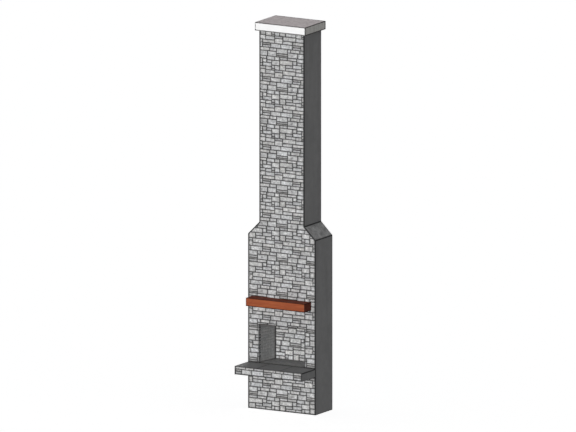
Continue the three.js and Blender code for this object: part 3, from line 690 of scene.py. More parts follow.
STONE = stone_material()
MORTAR = mortar_material()
RENDER = render_material()
SLATE = slate_material()
HEARTH_BRICK = firebrick_material("floor_firebrick", 0.295, 0.350)
# The cheek bricks are lighter than the floor bricks and darken less at their edges: painted light for the shade inside
# the firebox.
CHEEK_BRICK = firebrick_material("cheek_firebrick", 0.425, 0.465, 0.95)
FIRECLAY = mortar_material("fireclay_joint", 0.25)
TIMBER = timber_material()
CAP = cap_material()
CONCRETE = concrete_material()
BLOCK_X, BLOCK_Y = block_material("block_front", 0), block_material("block_side", 1)
CLAY = clay_material()
IRON = iron_material()
STEEL = steel_material()

# ---------------------------------------------------------------- stone facing
# One field of random ashlar, 32.2 in wide and high, laid over and over. Each
# row is left, bottom, right, top in inches, from the middle of the joints, how
# light that stone is, and then its uneven parts: left and right ends painted
# in shade (width, strength), bands across it (place, half width, strength)
# and dark mineral spots (u, w, radius, strength).
FIELD = 32.2
ASHLAR = [
    (1.5, 0.2, 7.9, 5.6, 1.0, ("R", 1.2, 0.30)),
    (7.9, 0.2, 18.7, 3.0, 0.96),
    (7.9, 3.0, 15.4, 5.6, 0.96, ("R", 1.6, 0.45)),
    (18.7, -0.3, 25.1, 3.0, 1.0),
    (15.4, 3.0, 25.1, 6.5, 1.0),
    (25.1, 1.5, 28.4, 4.4, 1.0),
    (25.1, -0.3, 28.4, 1.5, 0.70),
    (28.4, 0.2, 33.7, 4.4, 1.0, ("R", 1.5, 0.50)),
    (25.1, 4.4, 33.7, 9.1, 1.0, ("R", 1.3, 0.35), ("S", 31.0, 7.0, 1.3, 0.35)),
    (1.5, 5.6, 15.4, 10.1, 1.0, ("R", 1.6, 0.42), ("S", 5.0, 8.0, 1.4, 0.28)),
    (15.4, 6.5, 19.7, 10.1, 1.0),
    (19.7, 6.5, 25.1, 9.1, 0.98, ("L", 1.8, 0.55)),
    (19.7, 9.1, 28.3, 12.7, 1.0, ("L", 1.6, 0.50), ("R", 1.6, 0.38)),
    (28.3, 9.1, 33.7, 12.7, 1.0, ("R", 1.5, 0.50)),
    (1.5, 10.1, 9.8, 12.7, 0.97, ("R", 1.4, 0.48)),
    (9.8, 10.1, 19.7, 12.7, 0.97),
    (10.0, 12.7, 20.7, 17.6, 1.0, ("S", 14.5, 15.0, 1.5, 0.95)),
    (20.7, 12.7, 30.3, 17.6, 1.0, ("L", 1.8, 0.50)),
    (-1.9, 12.7, 10.0, 14.0, 0.68),
    (-1.9, 14.0, 10.0, 16.0, 0.83),
    (-1.9, 16.0, 10.0, 20.8, 1.0, ("R", 1.2, 0.40)),
    (10.0, 17.6, 13.2, 20.8, 1.0, ("R", 0.9, 0.30)),
    (13.2, 17.6, 23.0, 20.8, 1.0, ("R", 1.2, 0.25)),
    (23.0, 17.6, 30.3, 20.8, 1.0, ("L", 1.5, 0.42)),
    (2.7, 20.8, 15.4, 25.1, 1.0, ("R", 1.5, 0.42), ("S", 12.2, 23.0, 1.1, 0.60)),
    (15.4, 20.8, 23.9, 23.1, 0.95),
    (15.4, 23.1, 23.9, 25.1, 0.70),
    (23.9, 20.8, 34.9, 25.1, 1.0, ("L", 1.9, 0.42)),
    (-3.9, 25.1, 4.7, 30.1, 1.0, ("S", 1.2, 27.5, 1.3, 0.55)),
    (4.7, 25.1, 15.4, 28.2, 1.0, ("L", 2.0, 0.38), ("R", 1.8, 0.50)),
    (15.4, 25.1, 28.3, 28.2, 1.0, ("B", 20.8, 0.8, 0.34)),
    (4.7, 28.2, 18.7, 32.4, 1.0, ("L", 1.4, 0.48), ("S", 11.0, 30.0, 1.2, 0.60)),
    (18.7, 28.2, 28.3, 31.9, 1.0, ("B", 23.0, 0.7, 0.28)),
    (-3.9, 30.1, 4.7, 32.4, 0.84, ("R", 1.4, 0.25)),
]
WIDE_JOINTS = (1.5, 7.9, 15.4, 19.7, 20.7, 30.3, 33.7)
JOINT = 16.0
SLIVER = 28.0
EDGE = 8.0                             # joint between the facing and the render coat
tones = random.Random(11)
FIELD_TONES = [(0.543 * row[4] * (1 + clamp(tones.gauss(0, 0.045), -0.1, 0.1)), tones.random()) for row in ASHLAR]


def uneven(i, ox, oz):
    """The painted shade at the ends, and the dark bands and spots, of field stone i at a point (u, w) of the wall, for
    a field that starts at (ox, oz).
    """
    a, _, c = ASHLAR[i][:3]
    marks = ASHLAR[i][5:]

    def shade(u, w):
        fu, fw = (u - ox) / IN, (w - oz) / IN
        most = 0.0
        for kind, *v in marks:
            if kind == "L":
                x = 1 - (fu - a - 0.3) / v[0]
            elif kind == "R":
                x = 1 - (c - 0.3 - fu) / v[0]
            elif kind == "B":
                x = 1 - abs(fu - v[0] + 0.25 * n3(u, w, 0, 60)) / v[1]
            else:
                x = 1.25 - math.hypot(fu - v[0], fw - v[1]) / v[2] + 0.4 * n3(u, w, 0, 25)
            most = max(most, 0.8 * v[-1] * ease(x))
        return most

    return shade if marks else 0.0


def ashlar(x0, x1, z0, z1, du=0.0, dw=0.0):
    """The field's stones that reach into a rectangle of the wall, in
    millimetres, each with its key: which stone it is, a seed and its field's start."""
    out = []
    for k in range(int(math.floor((x0 + HB) / IN / FIELD)) - 2, int(math.ceil((x1 + HB) / IN / FIELD)) + 3):
        for m in range(int(math.floor(z0 / IN / FIELD)) - 2, int(math.ceil(z1 / IN / FIELD)) + 3):
            ox, oz = (k * FIELD - du) * IN - HB, (m * FIELD - dw) * IN
            for i, (a, b, c, d, *_) in enumerate(ASHLAR):
                ax, bz, cx, dz = ox + a * IN, oz + b * IN, ox + c * IN, oz + d * IN
                ax += 2.5 * (a in WIDE_JOINTS)
                cx -= 2.5 * (c in WIDE_JOINTS)
                if cx > x0 and ax < x1 and dz > z0 and bz < z1:
                    out.append(((i, i * 7919 + (k + 40) * 104729 + (m + 40) * 1299709, ox, oz), ax, bz, cx, dz))
    return out


def fit(ax, bz, cx, dz, x0, x1, z0, z1, joint=JOINT, sliver=SLIVER):
    """Cuts a stone to a rectangle of wall and takes the joints off it."""
    if cx - x0 < sliver or x1 - ax < sliver or dz - z0 < sliver or z1 - bz < sliver:
        return None
    h = joint / 2
    ax = x0 if ax < x0 + sliver else ax + h
    cx = x1 if cx > x1 - sliver else cx - h
    bz = z0 if bz < z0 + sliver else bz + h
    dz = z1 if dz > z1 - sliver else dz - h
    if cx - ax < sliver - joint or dz - bz < sliver - joint:
        return None
    return ax, bz, cx, dz


def half_inside(z):
    """Half the facing's width at a height, inside the render coat."""
    return clamp(HB_IN - (z - SHOULDER_IN), HS_IN, HB_IN)


def on_front(u, w, n):
    return (u, FRONT - n, w)


def lay(mesh, rect, key, place=on_front, half=None, box=None, light=1.0, **more):
    """Adds one field stone, cut by the sloping ends of the wall if half is given."""
    ax, bz, cx, dz = rect
    i, seed, ox, oz = key
    if half:
        whole_dz = dz
        while dz - bz > 20 and min(cx, half(dz)) - max(ax, -half(dz)) < 26:
            dz -= 4
        if dz < whole_dz and dz - bz < 22:
            return
        left = lambda w: max(ax, -half(w) + EDGE)
        right_ = lambda w: min(cx, half(w) - EDGE)
        limits = lambda w: (-half(w) + EDGE, half(w) - EDGE, box[2], box[3])
    else:
        left = lambda w: ax
        right_ = lambda w: cx
        limits = lambda w: (box[0], box[1], box[2], box[3])
    rng = random.Random(seed)
    tone, hue = FIELD_TONES[i]
    # The light factor scales the stones' tone for one part of the wall: painted light and shade for how much light that
    # part gets.
    stone(mesh, place, left, right_, bz, dz, more.pop("depth", 86.0), seed,
          tone=light * tone * (1 + clamp(rng.gauss(0, 0.04), -0.1, 0.1)), hue=clamp(hue + rng.gauss(0, 0.15), 0, 1),
          proud=rng.uniform(-9.0, -4.0), limits=limits, shade=uneven(i, ox, oz), **more)


def slab(mesh, lo, hi, step=70.0, bend=None, rough=1.2, r=1.5, seen=((1, 0),)):
    """A plain body of mortar or backing with a slightly uneven skin."""
    rounded_box(mesh, lo, hi, r, step, shape=lambda p, n, rim: -rough * (0.5 + 0.5 * n3(*p, 34)) * (1 - rim),
                rim_width=8.0, bend=bend, seen=seen)


RECESS = 13.0

# base, below the hearth
m = Mesh()
box = (-HB_IN + EDGE, HB_IN - EDGE, 14.0, HEARTH_Z0 - 0.4)
for key, *cut in ashlar(*box):
    rect = fit(*cut, *box)
    if rect:
        # Painted light: tone raised by 1.05. Painted shade: darker along the foot and just under the hearth slab.
        lay(m, rect, key, box=box, light=1.05,
            soot=lambda u, w: max(ease(2.1 - (w - 14.0) / 14), 0.8 * ease(1.1 - (HEARTH_Z0 - w) / 20)))
m.make("base_stones", STONE, slot="stone", stands_for=["base_veneer"])
m = Mesh()
slab(m, (-HB_IN + 0.5, FRONT + RECESS, 1.0), (HB_IN - 0.5, VENEER_BACK - 0.5, HEARTH_Z0 - 0.8))
m.make("base_pointing", MORTAR, slot="mortar")

# jambs, breast, shoulders and stack, above the hearth
panels = {
    "left_jamb": (["left_jamb_veneer"], Mesh()), "right_jamb": (["right_jamb_veneer"], Mesh()),
    "lower_breast": (["lower_breast_veneer"], Mesh()), "upper_breast": (["upper_breast_veneer"], Mesh()),
    "shoulder": (["shoulder_veneer"], Mesh()), "lower_stack": (["lower_stack_veneer"], Mesh()),
    "middle_stack": (["middle_stack_veneer"], Mesh()), "upper_stack": (["upper_stack_veneer"], Mesh()),
}


def panel_at(x, z):
    if z < OPEN_Z:
        return "left_jamb" if x < 0 else "right_jamb"
    if z < MID_Z:
        return "lower_breast"
    if z < SHOULDER_IN:
        return "upper_breast"
    if z < STACK_IN:
        return "shoulder"
    return ("lower_stack", "middle_stack", "upper_stack")[clamp(int((z - STACK_IN) / LIFT), 0, 2)]


wall_z0 = HEARTH_Z1 + 0.3
foot = HEARTH_Z1 + 10.0
whole = (-HB_IN + EDGE, HB_IN - EDGE, foot, STACK_TOP - 0.3)


def soot_and_shade_round_opening(u, w):
    """Soot with painted shade on the edges of the opening and on the bed above it, painted shade along the foot of the
    wall at the hearth.
    """
    if w < OPEN_Z:
        return max(ease(1.25 - (abs(u) - OPEN_HALF) / (38 if u < 0 else 50)), 0.8 * ease(1.15 - (w - foot) / 24))
    return 0.95 * ease(1.25 - (w - BED_Z) / 24) * ease((OPEN_HALF + 30 - abs(u)) / 30)


for (i, seed, ox, oz), ax, bz, cx, dz in ashlar(*whole):
    todo = []
    beside_opening = cx < -ANGLE_HALF - 6 or ax > ANGLE_HALF + 6
    low = bz < BED_Z + 30
    if beside_opening or bz >= BED_Z:
        cell = whole
        if bz > STACK_IN - 10:
            cell = (-HS_IN + EDGE, HS_IN - EDGE, foot, whole[3])
        todo.append((cell, ax, bz, cx, dz))
    else:
        for cell in ((-HB_IN + EDGE, -OPEN_HALF, foot, OPEN_Z - 0.3), (OPEN_HALF, HB_IN - EDGE, foot, OPEN_Z - 0.3),
                     (-HB_IN + EDGE, HB_IN - EDGE, BED_Z, whole[3])):
            if cx > cell[0] and ax < cell[1] and dz > cell[2] and bz < cell[3]:
                todo.append((cell, ax, bz, cx, dz))
    for n_, (cell, *cut) in enumerate(todo):
        rect = fit(*cut, *cell)
        if not rect:
            continue
        where = panel_at((rect[0] + rect[2]) / 2, (rect[1] + rect[3]) / 2)
        sloping = rect[3] > SHOULDER_IN and rect[1] < STACK_IN + 1
        lay(panels[where][1], rect, (i, seed + n_, ox, oz), box=cell, half=half_inside if sloping else None,
            soot=soot_and_shade_round_opening if low else 0.0, side_rims=(0.8, 0.3, 0.0) if low else (1.0, 0.7, 0.0),
            sides=0.5 if low else 0.06)
for name, (nodes_, mesh) in panels.items():
    mesh.make(name + "_stones", STONE, slot="stone", stands_for=nodes_)

y0, y1 = FRONT + RECESS, VENEER_BACK - 0.5
m = Mesh()
slab(m, (-HB_IN + 0.5, y0, wall_z0), (-OPEN_HALF - 5, y1, OPEN_Z - 1), seen=((1, 0), (0, 1)))
m.make("left_jamb_pointing", MORTAR, slot="mortar")
m = Mesh()
slab(m, (OPEN_HALF + 5, y0, wall_z0), (HB_IN - 0.5, y1, OPEN_Z - 1), seen=((1, 0), (0, 0)))
m.make("right_jamb_pointing", MORTAR, slot="mortar")
m = Mesh()
slab(m, (-HB_IN + 0.5, y0, BED_Z + 0.5), (HB_IN - 0.5, y1, MID_Z - 0.3))
m.make("lower_breast_pointing", MORTAR, slot="mortar")
m = Mesh()
slab(m, (-HB_IN + 0.5, y0, MID_Z + 0.1), (HB_IN - 0.5, y1, SHOULDER_IN - 0.3))
m.make("upper_breast_pointing", MORTAR, slot="mortar")
m = Mesh()
slab(m, (-HB_IN + 0.5, y0, SHOULDER_IN + 0.1), (HB_IN - 0.5, y1, STACK_IN - 0.3),
     bend=lambda p: [p[0] * half_inside(p[2]) / HB_IN, p[1], p[2]])
m.make("shoulder_pointing", MORTAR, slot="mortar")
for n_, name in enumerate(("lower", "middle", "upper")):
    m = Mesh()
    slab(m, (-HS_IN + 0.5, y0, STACK_IN + n_ * LIFT + 0.1), (HS_IN - 0.5, y1, STACK_IN + (n_ + 1) * LIFT - 0.3))
    m.make(name + "_stack_pointing", MORTAR, slot="mortar")

# ---------------------------------------------------------------- hearth
# Thin stones on the front edge, three slate flags on a mortar bed on top.
FLAG_T = 15.6
m = Mesh()
box = (-HB_IN + EDGE, HB_IN - EDGE, HEARTH_Z0 + 13.0, HEARTH_Z1 - FLAG_T - 1.5)
for (i, seed, ox, oz), *cut in ashlar(*box, du=16.8, dw=16.0):
    rect = fit(*cut, *box)
    if rect:
        # Painted shade: tone lowered to 0.98, and darker along the foot of the fascia stones.
        lay(m, rect, (i, seed + 5, ox, oz), place=lambda u, w, n: (u, HEARTH_FRONT - n, w), box=box, light=0.98,
            depth=48.0, soot=lambda u, w: ease(2.1 - (w - HEARTH_Z0 - 13) / 14))
m.make("fascia_stones", STONE, slot="stone", stands_for=["hearth_fascia"])
m = Mesh()
slab(m, (-HB_IN + 0.5, HEARTH_FRONT + RECESS, HEARTH_Z0 + 0.8), (HB_IN - 0.5, HEARTH_FRONT + 50.4, HEARTH_Z1 - FLAG_T - 1.2))
m.make("fascia_pointing", MORTAR, slot="mortar")

m = Mesh()
for n_ in range(3):
    x0, x1 = -HB + n_ * 2 * HB / 3, -HB + (n_ + 1) * 2 * HB / 3
    x0, x1 = x0 + (2.5 if n_ else 0.0), x1 - (2.5 if n_ < 2 else 0.0)
    # Painted shade along the flags' front edge, their back against the wall and their ends.
    stone(m, lambda u, w, n: (u, w, HEARTH_Z1 + n), lambda w, x=x0: x, lambda w, x=x1: x, HEARTH_FRONT, FRONT - 12.0,
          FLAG_T, 300 + n_, tone=(0.3, 0.8, 0.5)[n_], r=4.0, proud=-1.4, relief=0.9, wobble=0.0, tilt=0.0008, step=26.0,
          rim_width=14.0, side_rims=(1.0, 0.8, 0.5),
          soot=lambda u, w: max(ease(1.15 - (w - HEARTH_FRONT) / 34), 0.9 * ease(1.1 - (FRONT - 12 - w) / 42),
                                ease(1.15 - (HB - abs(u)) / 30)))
m.make("hearth_flags", SLATE, slot="paving", stands_for=["hearth_paving"])
m = Mesh()
slab(m, (-HB_IN + 0.5, HEARTH_FRONT + 51.0, SLAB_TOP + 0.3), (HB_IN - 0.5, FRONT - 0.5, HEARTH_Z1 - FLAG_T - 0.4),
     seen=((2, 1),))
m.make("hearth_bedding", MORTAR, slot="mortar")

# ---------------------------------------------------------------- firebox
SPLAY = (OPEN_HALF - FB_HALF) / (FB_Y - CORE_FRONT)


def floor_half(y):
    return OPEN_HALF - 1.5 - max(0.0, y - CORE_FRONT) * SPLAY


def bricks(u0, u1, w0, w1, length, height, shift=0.0):
    """Running bond over a rectangle, as corners to the middle of the joints."""
    out, row, w = [], 0, w0
    while w < w1:
        u = u0 - length + shift + (length / 2 if row % 2 else 0.0)
        col = 0
        while u < u1:
            if u + length > u0:
                out.append((row * 100 + col, u, w, u + length, w + height))
            u += length
            col += 1
        w += height
        row += 1
    return out


brick_tones = random.Random(23)
m = Mesh()
f0, f1 = FRONT + 12.0, FB_Y - 0.6
for key, ax, bz, cx, dz in bricks(-OPEN_HALF, OPEN_HALF, f0, f1, 232.0, 116.5, 60.0):
    cell = (-floor_half(min(dz, f1)) + 0.0, floor_half(min(dz, f1)), f0, f1)
    rect = fit(ax, bz, cx, dz, *cell, joint=4.0, sliver=30.0)
    if not rect:
        continue
    ax, bz, cx, dz = rect
    at_left, at_right = ax <= cell[0] + 0.01, cx >= cell[1] - 0.01
    # Darker towards the back and along the front edge.
    stone(m, lambda u, w, n: (u, w, HEARTH_Z1 + n),
          (lambda w: -floor_half(w)) if at_left else (lambda w, x=ax: x),
          (lambda w: floor_half(w)) if at_right else (lambda w, x=cx: x),
          bz, dz, 26.0, 1000 + key, tone=brick_tones.random(), r=3.0, proud=-1.0, relief=0.5, wobble=0.0, tilt=0.002,
          step=26.0, rim_width=10.0,
          soot=lambda u, w: max(0.35 * ease((w + 200) / 400), 0.9 * ease(1.25 - (w - f0) / 72)))
m.make("floor_firebricks", HEARTH_BRICK, slot="firebrick", stands_for=["firebox_floor"])
m = Mesh()
slab(m, (-OPEN_HALF + 1.5, FRONT + 0.6, SLAB_TOP + 0.5), (OPEN_HALF - 1.5, FB_Y - 0.4, HEARTH_Z1 - 5.0),
     bend=lambda p: [p[0] * floor_half(p[1]) / floor_half(-900.0), p[1], p[2]], seen=((2, 1),))
m.make("floor_bedding", MORTAR, slot="mortar")

CHEEK_L = math.hypot(OPEN_HALF - FB_HALF, FB_Y - CORE_FRONT)
cs, sn = (FB_Y - CORE_FRONT) / CHEEK_L, (OPEN_HALF - FB_HALF) / CHEEK_L
LINTEL_U = (-165.1 - CORE_FRONT) / cs + 1.0
for side, name in ((-1, "left"), (1, "right")):
    if side < 0:
        place = lambda u, w, n: (-OPEN_HALF + u * sn + n * cs, CORE_FRONT + u * cs - n * sn, w)
        cells = [(-11.2, CHEEK_L - 0.5, HEARTH_Z1 + 0.3, OPEN_Z - 0.3), (LINTEL_U, CHEEK_L - 0.5, OPEN_Z, THROAT_Z1 - 0.5)]
    else:
        place = lambda u, w, n: (FB_HALF + u * sn - n * cs, FB_Y - u * cs - n * sn, w)
        cells = [(0.5, CHEEK_L + 11.2, HEARTH_Z1 + 0.3, OPEN_Z - 0.3), (0.5, CHEEK_L - LINTEL_U, OPEN_Z, THROAT_Z1 - 0.5)]

    def corner_soot(u, w, side=side):
        """Soot above, painted shade at the rear corner and along the floor."""
        from_back = CHEEK_L - u if side < 0 else u
        return max(0.75 * ease((w - 1850) / 450), ease(1.15 - from_back / 44), 0.8 * ease(1.1 - (w - HEARTH_Z1) / 28))

    m = Mesh()
    for part, cell in enumerate(cells):
        start = HEARTH_Z1 if part == 0 else OPEN_Z
        for key, ax, bz, cx, dz in bricks(-12.0, CHEEK_L + 12.0, start, cell[3], 233.0, 70.3, 80.0 if side < 0 else 40.0):
            rect = fit(ax, bz, cx, dz, *cell, joint=3.0, sliver=24.0)
            if not rect:
                continue
            ax, bz, cx, dz = rect
            stone(m, place, lambda w, x=ax: x, lambda w, x=cx: x, bz, dz, 45.0, 3000 + key + part * 5000 + side * 17,
                  tone=brick_tones.random(), r=2.6, proud=-1.0, relief=0.5, wobble=0.0, tilt=0.003, step=26.0,
                  rim_width=9.0, soot=corner_soot)
    m.make(name + "_cheek_firebricks", CHEEK_BRICK, slot="firebrick", stands_for=[name + "_cheek"])
    m = Mesh()

    def splayed(p, side=side):
        k = (abs(p[0]) - ANGLE_HALF) / (OPEN_HALF + 5.0 - ANGLE_HALF)
        return [p[0] - side * k * max(0.0, p[1] - CORE_FRONT) * SPLAY, p[1], p[2]]

    xs = sorted((side * (ANGLE_HALF - 0.3), side * (OPEN_HALF + 5.0)))
    inner = ((0, 1 if side < 0 else 0),)
    slab(m, (xs[0], VENEER_BACK + 0.3, SLAB_TOP + 0.4), (xs[1], FB_Y - 0.4, OPEN_Z - 0.4), bend=splayed, seen=inner)
    slab(m, (xs[0], -164.8, OPEN_Z - 0.2), (xs[1], FB_Y - 0.4, THROAT_Z1 - 0.4), bend=splayed, seen=inner)
    m.make(name + "_cheek_backing", FIRECLAY, slot="mortar")

m = Mesh()
box = (-FB_HALF + 1.0, FB_HALF - 1.0, HEARTH_Z1 + 0.3, FB_TOP - 0.4)
for (i, seed, ox, oz), *cut in ashlar(*box, du=0.0, dw=20.4):
    rect = fit(*cut, *box)
    if rect:
        # Painted light: tone raised by 1.13 for the shade inside the firebox. Soot above, painted shade along the floor
        # and in the side corners.
        lay(m, rect, (i, seed + 9, ox, oz), place=lambda u, w, n: (u, FB_Y - n, w), box=box, light=1.13, depth=58.0,
            soot=lambda u, w: max(0.55 * ease((w - 1780) / 200), 0.5 * ease(1.1 - (w - HEARTH_Z1) / 30),
                                  0.9 * ease(1.1 - (FB_HALF - abs(u)) / 28)))
m.make("fireback_stones", STONE, slot="stone", stands_for=["firebox_back_wall"])
m = Mesh()
slab(m, (-ANGLE_HALF + 0.4, FB_Y + RECESS, SLAB_TOP + 0.5), (ANGLE_HALF - 0.4, 291.6, FB_TOP - 0.8))
m.make("fireback_backing", MORTAR, slot="mortar")

# ---------------------------------------------------------------- mantel beam
m = Mesh()


def hewn(p, normal, rim):
    if normal[1] > 0.7:
        return 0.0
    wave = n3(p[0], p[1] * 4, p[2] * 4, 330) * 1.4 + n3(p[0], p[1] * 2.2, p[2] * 2.2, 95, 4) * 0.9
    knock = max(0.0, n3(*p, 48, 2) - 0.22) * 12 * ease(rim * 1.5)
    return -0.9 + 0.8 * wave - knock


# near widens the dark rim along the beam's lower edge: painted shade.
rounded_box(m, (-800.1, -711.2, 2508.25), (800.1, -406.9, 2711.45), 6.0, (26.0, 19.0, 17.0), shape=hewn, rim_width=30.0,
            near={(2, 0): 0.72})
m.make("mantel_timber_beam", TIMBER, slot="timber", stands_for=["mantel_beam"])

# ---------------------------------------------------------------- cap slab
m = Mesh()


def cast(p, normal, rim):
    chip = max(0.0, n3(*p, 70, 5) - 0.25) * 16 * ease(rim * 1.3)
    return -1.0 + 0.8 * n3(*p, 160) + 0.3 * n3(*p, 40, 3) - chip


# near widens the dark rim under the slab and along its back edges: painted shade.
rounded_box(m, (-685.8, -482.6, 9093.4), (685.8, 482.6, TOP), 9.0, (31.0, 31.0, 26.0), shape=cast, rim_width=36.0,
            near={(2, 0): 0.78, (1, 1): 0.45})
m.make("cap_stone", CAP, slot="cap", stands_for=["cap_slab"])


# ---------------------------------------------------------------- render coat
def half_outside(z):
    return clamp(HB - (z - SHOULDER_Z), HS, HB)


OUTLET_HALF, OUTLET_Z = 254.0, 8788.4
coat_top = STACK_TOP - 0.2
levels = [2.0, 10.0, 24.0, 40.0]
for lo_, hi_ in ((40.0, SHOULDER_Z), (SHOULDER_Z, STACK_Z), (STACK_Z, OUTLET_Z), (OUTLET_Z, coat_top)):
    marks = [lo_ + 9, lo_ + 20, lo_ + 36] if lo_ > 100 else []
    ends = [hi_ - 36, hi_ - 20, hi_ - 9, hi_]
    a, b = (marks[-1] if marks else lo_), ends[0]
    count = max(1, int(round((b - a) / 95)))
    levels += marks + [a + (b - a) * i / count for i in range(1, count)] + ends
sides = [FRONT + 2 + d for d in (2, 12, 28, 52)]
sides += [sides[-1] + (BACK - 36 - sides[-1]) * i / 8 for i in range(1, 9)] + [BACK - 20, BACK - 8]
backs = [0.0, 0.12, 0.24, 0.34, OUTLET_HALF / HS, 0.5, 0.6, 0.7, 0.8, 0.9]
n_side = len(sides)


def section(z):
    """Outer and inner points of the coat at a height, from front right round the back to front left."""
    w = half_outside(z)
    wi = w - COAT
    # rims give painted shade lines along the coat's front and back arrises and the back's side edges.
    outer, inner, rims = [(w - 2.0, FRONT + 2.0)], [(wi, FRONT + 2.0)], [1.0]
    for y in sides:
        outer.append((w, y))
        inner.append((wi, FRONT + 2 + (y - FRONT - 2) * (BACK - COAT - 2 - FRONT) / (BACK - FRONT - 2)))
        rims.append(clamp(1 - min((y - FRONT - 2) / 52, (BACK - y) / 44), 0, 1))
    outer.append((w - 2.4, BACK - 2.4))
    inner.append((wi, BACK - COAT))
    rims.append(1.0)
    half = [w - 8.0, w - 20.0, w - 36.0] + [t * w for t in reversed(backs) if t * w < w - 60]
    across = half + [-x for x in reversed(half) if x > 0]
    for x in across:
        outer.append((x, BACK))
        xi = x if abs(abs(x) - OUTLET_HALF * w / HS) < 0.01 and w <= HS else x * (wi - 4) / w
        inner.append((xi, BACK - COAT))
        rims.append(clamp(1 - (w - abs(x)) / 40, 0, 1))
    outer.append((-w + 2.4, BACK - 2.4))
    inner.append((-wi, BACK - COAT))
    rims.append(1.0)
    for k in range(n_side, -1, -1):
        outer.append((-outer[k][0], outer[k][1]))
        inner.append((-inner[k][0], inner[k][1]))
        rims.append(rims[k])
    return outer, inner, rims


def coat(m, levels):
    """One closed body of the coat between the first and the last level, with the outlet left open."""
    grid_out, grid_in, along, up = [], [], [], []
    hole = []
    for z in levels:
        outer, inner, rims = section(z)
        # rim_z gives painted shade lines under the cap, at the shoulders' bends and along the foot.
        near = min(abs(z - SHOULDER_Z), abs(z - STACK_Z), coat_top - z, abs(z - 2))
        rim_z = clamp(1 - near / 30, 0, 1)
        row_out, row_in, walked = [], [], [0.0]
        for k, (x, y) in enumerate(outer):
            rim = max(rims[k], rim_z)
            d = (1.1 + 0.9 * n3(x, y, z, 260) + 0.35 * n3(x, y, z, 70, 3)) * (1 - 0.6 * rim)
            sx = -math.copysign(1, x) if abs(x) > half_outside(z) - 6 else 0.0
            sy = -1.0 if y > BACK - 6 else 0.0
            # up marks the shoulders' slopes, whose colour is painted lighter and mottled in the render coat's material.
            sloped = 1.0 if sx and SHOULDER_Z + 5 < z < STACK_Z - 5 else 0.0
            row_out.append(m.vert((x + sx * d, y + sy * d, z), rim=rim, up=sloped))
            if k:
                walked.append(walked[-1] + math.hypot(x - outer[k - 1][0], y - outer[k - 1][1]))
        for k, (x, y) in enumerate(inner):
            row_in.append(m.vert((x, y, z), rim=1.0 if k in (0, len(inner) - 1) else 0.0))
        grid_out.append(row_out)
        grid_in.append(row_in)
        along.append([x - walked[-1] / 2 for x in walked])
        up.append(z + 0.41 * clamp(z - SHOULDER_Z, 0, STACK_Z - SHOULDER_Z))
        if z >= OUTLET_Z - 0.01:
            hole = [k for k, (x, y) in enumerate(outer) if y > BACK - 1 and abs(x) < OUTLET_HALF + 0.5]
    n = len(grid_out[0])
    h0, h1 = (hole[0], hole[-1]) if hole else (n, n)
    outside, inside, right_edge, left_edge, foot, head, jamb0, jamb1 = (m.new_chart() for _ in range(8))
    last = len(levels) - 1

    def strip(a, b):
        """Corners of a narrow edge, laid flat with the coat's thickness across it."""
        return [(COAT, a), (0.0, a), (0.0, b), (COAT, b)]

    for a in range(last):
        in_hole = levels[a] >= OUTLET_Z - 0.01
        for k in range(n - 1):
            if in_hole and h0 <= k < h1:
                continue
            four = ((a, k), (a, k + 1), (a + 1, k + 1), (a + 1, k))
            flat = [(along[i][j], up[i]) for i, j in four]
            m.face([grid_out[i][j] for i, j in four], True, flat, outside)
            m.face([grid_in[i][j] for i, j in four][::-1], False, [(-HIDDEN * x, HIDDEN * y) for x, y in flat[::-1]], inside)
        flat = strip(up[a], up[a + 1])
        m.face((grid_in[a][0], grid_out[a][0], grid_out[a + 1][0], grid_in[a + 1][0]), False, flat, right_edge)
        m.face((grid_out[a][-1], grid_in[a][-1], grid_in[a + 1][-1], grid_out[a + 1][-1]), False, flat, left_edge)
        if in_hole:
            m.face((grid_out[a][h0], grid_in[a][h0], grid_in[a + 1][h0], grid_out[a + 1][h0]), False, flat, jamb0)
            m.face((grid_in[a][h1], grid_out[a][h1], grid_out[a + 1][h1], grid_in[a + 1][h1]), False, flat, jamb1)
    sill = min([i for i, z in enumerate(levels) if z >= OUTLET_Z - 0.01] or [last])
    sill_chart = m.new_chart()
    for k in range(n - 1):
        flat = [(y, x) for x, y in strip(along[0][k + 1], along[0][k])]
        m.face((grid_in[0][k + 1], grid_out[0][k + 1], grid_out[0][k], grid_in[0][k]), False, flat, foot)
        open_ = h0 <= k < h1
        top = sill if open_ else last
        flat = [(y, x) for x, y in strip(along[top][k], along[top][k + 1])]
        m.face((grid_in[top][k], grid_out[top][k], grid_out[top][k + 1], grid_in[top][k + 1]), False, flat,
               sill_chart if open_ else head)


m = Mesh()
coat(m, [z for z in levels if z >= STACK_Z])
m.make("stack_render_skin", RENDER, slot="render", stands_for=["render_coat"])
m = Mesh()
coat(m, [z for z in levels if z <= STACK_Z])
for s in (-1, 1):
    xs = sorted((s * (HB_IN + 0.2), s * HB))
    rounded_box(m, (xs[0], HEARTH_FRONT, HEARTH_Z0), (xs[1], FRONT - 0.6, HEARTH_Z1 - FLAG_T - 0.5), 4.0, (8.0, 60.0, 46.0),
                shape=lambda p, nn, rim: -0.5 - 0.4 * n3(*p, 120), rim_width=22.0)
m.make("body_render_skin", RENDER, slot="render", stands_for=["render_coat"])

# ---------------------------------------------------------------- kept nodes
for name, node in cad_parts.items():
    if name.startswith("flue_liner"):
        mat = CLAY
    elif name in ("damper_frame", "damper_plate", "control_bar"):
        mat = IRON
    elif name.endswith(("_rod", "_pin", "_angle")):
        mat = STEEL
    elif name in ("throat_block", "left_smoke_chamber_wall", "right_smoke_chamber_wall"):
        mat = HEARTH_BRICK
    elif name in ("base_slab", "hearth_slab", "inner_lintel"):
        mat = CONCRETE
    elif name in ("left_body_wall", "right_body_wall", "base_left_wall", "base_right_wall", "left_stack_wall",
                  "right_stack_wall", "left_haunch_block", "right_haunch_block"):
        mat = BLOCK_Y
    else:
        mat = BLOCK_X
    node.data.materials.clear()
    node.data.materials.append(mat)

